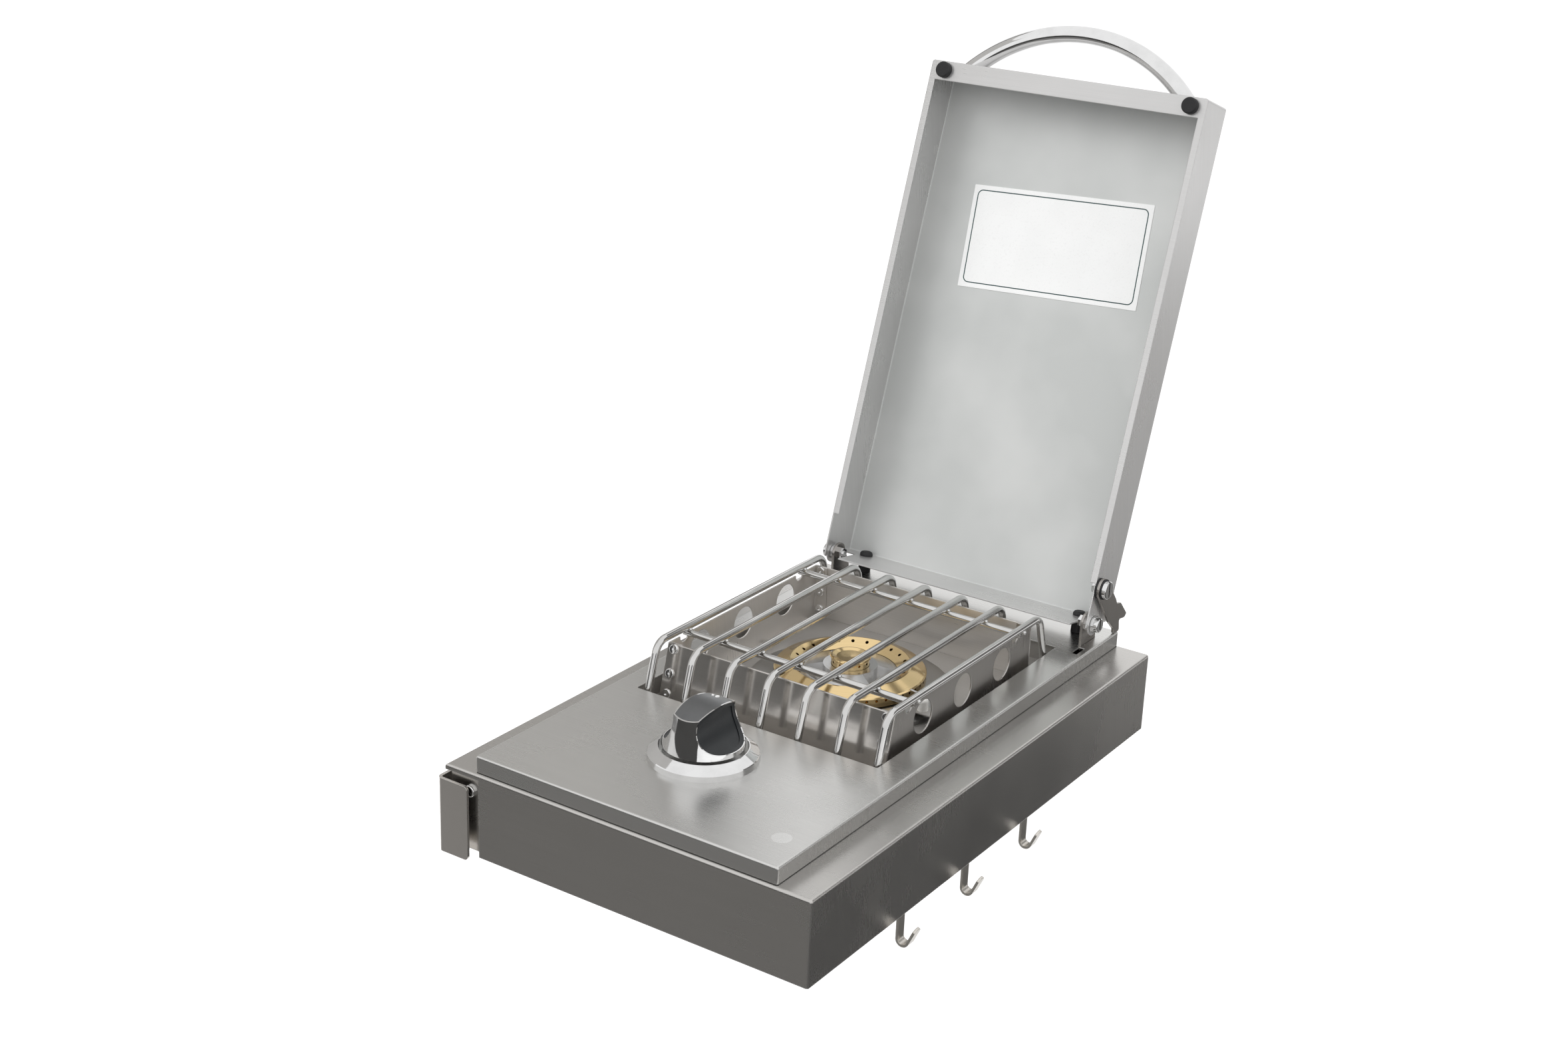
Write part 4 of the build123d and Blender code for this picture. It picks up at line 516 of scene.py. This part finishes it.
mesh = bmesh.new()
border_w = PLATE_W / 2 - BORDER_INSET
border_h = PLATE_H / 2 - BORDER_INSET
outer = rounded_outline(border_w, border_h, BORDER_CORNER)
inner = rounded_outline(border_w - BORDER_LINE, border_h - BORDER_LINE, BORDER_CORNER - BORDER_LINE)
add_sheet(mesh, [outer, inner], -PLATE_T - BORDER_PROUD, -PLATE_T + BORDER_SUNK)
mesh_piece("label_border", mesh, PLATE_PLACE, INK, "lid")

# Raised bar and dot at the pointing end of the knob's domed top, white as a painted highlight for their
# chrome glint: offset, half width and half length
POINTER_BAR = (-0.4 * MM, 0.8 * MM, 1.8 * MM)
POINTER_DOT = (-4.0 * MM, 0.8 * MM, 0.8 * MM)
POINTER_Y = 14.4 * MM
POINTER_H = 0.8 * MM
POINTER_SUNK = 0.2 * MM
POINTER_CORNER = 0.7 * MM

dome_centre = Matrix.Translation((WELL_X, KNOB_Y, KNOB_TOP - KNOB_DOME_R))
dome_slope = Matrix.Rotation(-math.asin(POINTER_Y / KNOB_DOME_R), 4, "X")
pointer_place = dome_centre @ dome_slope @ Matrix.Translation((0.0, 0.0, KNOB_DOME_R))
mesh = bmesh.new()
for x, half_w, half_l in (POINTER_BAR, POINTER_DOT):
    outline = [(x + px, py) for px, py in rounded_outline(half_w, half_l, POINTER_CORNER)]
    add_sheet(mesh, [outline], -POINTER_SUNK, POINTER_H)
# Painted highlight: the raised chrome pointer is coloured white for its glint
mesh_piece("pointer", mesh, pointer_place, PAPER, "knob")

# Stage: pale floor, white surroundings, grey cards, soft lamps and the photograph's camera
WHITE = (1.0, 1.0, 1.0, 1.0)
FLOOR_Z = -0.9
FLOOR_HALF = 12.0
FLOOR_COLOUR = (0.30, 0.30, 0.30, 1.0)
FLOOR_ROUGH = 0.8
FLOOR_GLOW = 0.84
WORLD_STRENGTH = (0.95, 1.0)

# Level cards: near corner, size and grey
CARD_Z = -0.5
LEVEL_CARDS = (
    ("card_front", (-2.6, -3.2), (3.4, 2.9), 0.145),
    ("card_corner", (0.8, -2.6), (1.4, 1.8), 0.10),
    ("card_right", (0.4, -0.8), (2.2, 1.9), 0.045),
    ("card_right_mid", (0.4, 1.1), (2.2, 0.5), 0.15),
    ("card_right_far", (0.4, 1.6), (2.2, 1.8), 0.28),
)
# Upright cards: start, end, foot, top and grey
UPRIGHT_CARDS = (
    ("card_left", (-0.35, -0.3), (-0.35, 0.49), 0.0, 0.9, 0.60),
    ("card_left_far", (-0.35, 0.49), (-0.35, 0.63), 0.0, 0.9, 0.22),
    ("card_back_right", (0.9, 2.1), (1.9, 0.9), 0.2, 1.3, 0.20),
    ("card_near", (-1.5, -1.3), (0.9, -2.26), CARD_Z, 0.22, 0.075),
)
CARD_WARMTH = (1.0, 0.98, 0.95)
CARD_ROUGH = 0.9

# Lamps: place, width of the square, and power
LAMPS = (
    ("key", (-1.6, -1.2, 2.2), 1.6, 38.0),
    ("fill", (1.9, 0.6, 1.6), 1.2, 16.0),
)
LAMP_TARGET = (0.15, 0.0, 0.1)

# Camera of the photograph, with its width and focal length in pixels
PHOTO_W = 2357.0
FOCAL_PX = 3434.94
SENSOR_W = 36.0
CLIP_START = 0.05
CAMERA_AT = (0.92055, -1.21290, 0.72253)
AZIMUTH = math.radians(33.58)
ELEVATION = math.radians(20.89)
ROLL = math.radians(2.16)


def seen_directly(tree):
    """1 for the rays that show the background: camera, glossy and transmission."""
    rays = tree.nodes.new("ShaderNodeLightPath")
    seen = maths(tree, "MAXIMUM", rays.outputs["Is Camera Ray"], rays.outputs["Is Glossy Ray"])
    return maths(tree, "MAXIMUM", seen, rays.outputs["Is Transmission Ray"])


def stage_sheet(name, corners, look):
    """A flat sheet of the stage."""
    mesh = bmesh.new()
    mesh.faces.new([mesh.verts.new(corner) for corner in corners])
    item = mesh_object(name, mesh, look)
    return item


def level_corners(corner, size, z):
    """Corners of a level sheet."""
    x, y = corner
    return ((x, y, z), (x + size[0], y, z), (x + size[0], y + size[1], z), (x, y + size[1], z))


def upright_corners(start, end, z0, z1):
    """Corners of an upright sheet."""
    return ((*start, z0), (*end, z0), (*end, z1), (*start, z1))


def grey_card(name, corners, grey):
    """A plain grey card that only reflections see."""
    look, _, shader = new_material(name)
    shader.inputs["Base Color"].default_value = (*shade(CARD_WARMTH, grey), 1.0)
    shader.inputs["Roughness"].default_value = CARD_ROUGH
    card = stage_sheet(name, corners, look)
    card.visible_camera = False
    card.visible_diffuse = False
    card.visible_transmission = False
    card.visible_shadow = False


def lamp(name, place, width, power):
    """A soft square lamp that is not itself seen or mirrored."""
    data = bpy.data.lights.new(name, "AREA")
    data.shape = "RECTANGLE"
    data.size = width
    data.size_y = width
    data.energy = power
    item = bpy.data.objects.new(name, data)
    item.location = place
    item.rotation_euler = (Vector(LAMP_TARGET) - Vector(place)).to_track_quat("-Z", "Y").to_euler()
    item.visible_glossy = False
    item.visible_camera = False
    bpy.context.collection.objects.link(item)


floor_look, tree, shader = new_material("floor_pale")
shader.inputs["Base Color"].default_value = FLOOR_COLOUR
shader.inputs["Roughness"].default_value = FLOOR_ROUGH
shader.inputs["Emission Color"].default_value = WHITE
link(tree, maths(tree, "MULTIPLY", seen_directly(tree), FLOOR_GLOW), shader.inputs["Emission Strength"])
floor_corners = level_corners((-FLOOR_HALF, -FLOOR_HALF), (2 * FLOOR_HALF, 2 * FLOOR_HALF), FLOOR_Z)
stage_sheet("floor", floor_corners, floor_look)

for name, corner, size, grey in LEVEL_CARDS:
    grey_card(name, level_corners(corner, size, CARD_Z), grey)
for name, start, end, z0, z1, grey in UPRIGHT_CARDS:
    grey_card(name, upright_corners(start, end, z0, z1), grey)

world = bpy.data.worlds.new("studio")
bpy.context.scene.world = world
world.use_nodes = True
tree = world.node_tree
background = tree.nodes["Background"]
background.inputs["Color"].default_value = WHITE
world_light = remap(tree, seen_directly(tree), WORLD_STRENGTH, UNIT)
link(tree, world_light, background.inputs["Strength"])

for name, place, width, power in LAMPS:
    lamp(name, place, width, power)

camera_data = bpy.data.cameras.new("camera")
camera = bpy.data.objects.new("camera", camera_data)
bpy.context.collection.objects.link(camera)
camera_data.sensor_fit = "HORIZONTAL"
camera_data.sensor_width = SENSOR_W
camera_data.lens = SENSOR_W * FOCAL_PX / PHOTO_W
camera_data.clip_start = CLIP_START
reach = math.cos(ELEVATION)
back = Vector((math.sin(AZIMUTH) * reach, -math.cos(AZIMUTH) * reach, math.sin(ELEVATION)))
right = Vector((math.cos(AZIMUTH), math.sin(AZIMUTH), 0.0))
up = back.cross(right)
turned_right = math.cos(ROLL) * right + math.sin(ROLL) * up
turned_up = -math.sin(ROLL) * right + math.cos(ROLL) * up
turn = Matrix((turned_right, turned_up, back)).transposed().to_4x4()
camera.matrix_world = Matrix.Translation(CAMERA_AT) @ turn
bpy.context.scene.camera = camera
bpy.context.scene.view_settings.view_transform = "Standard"
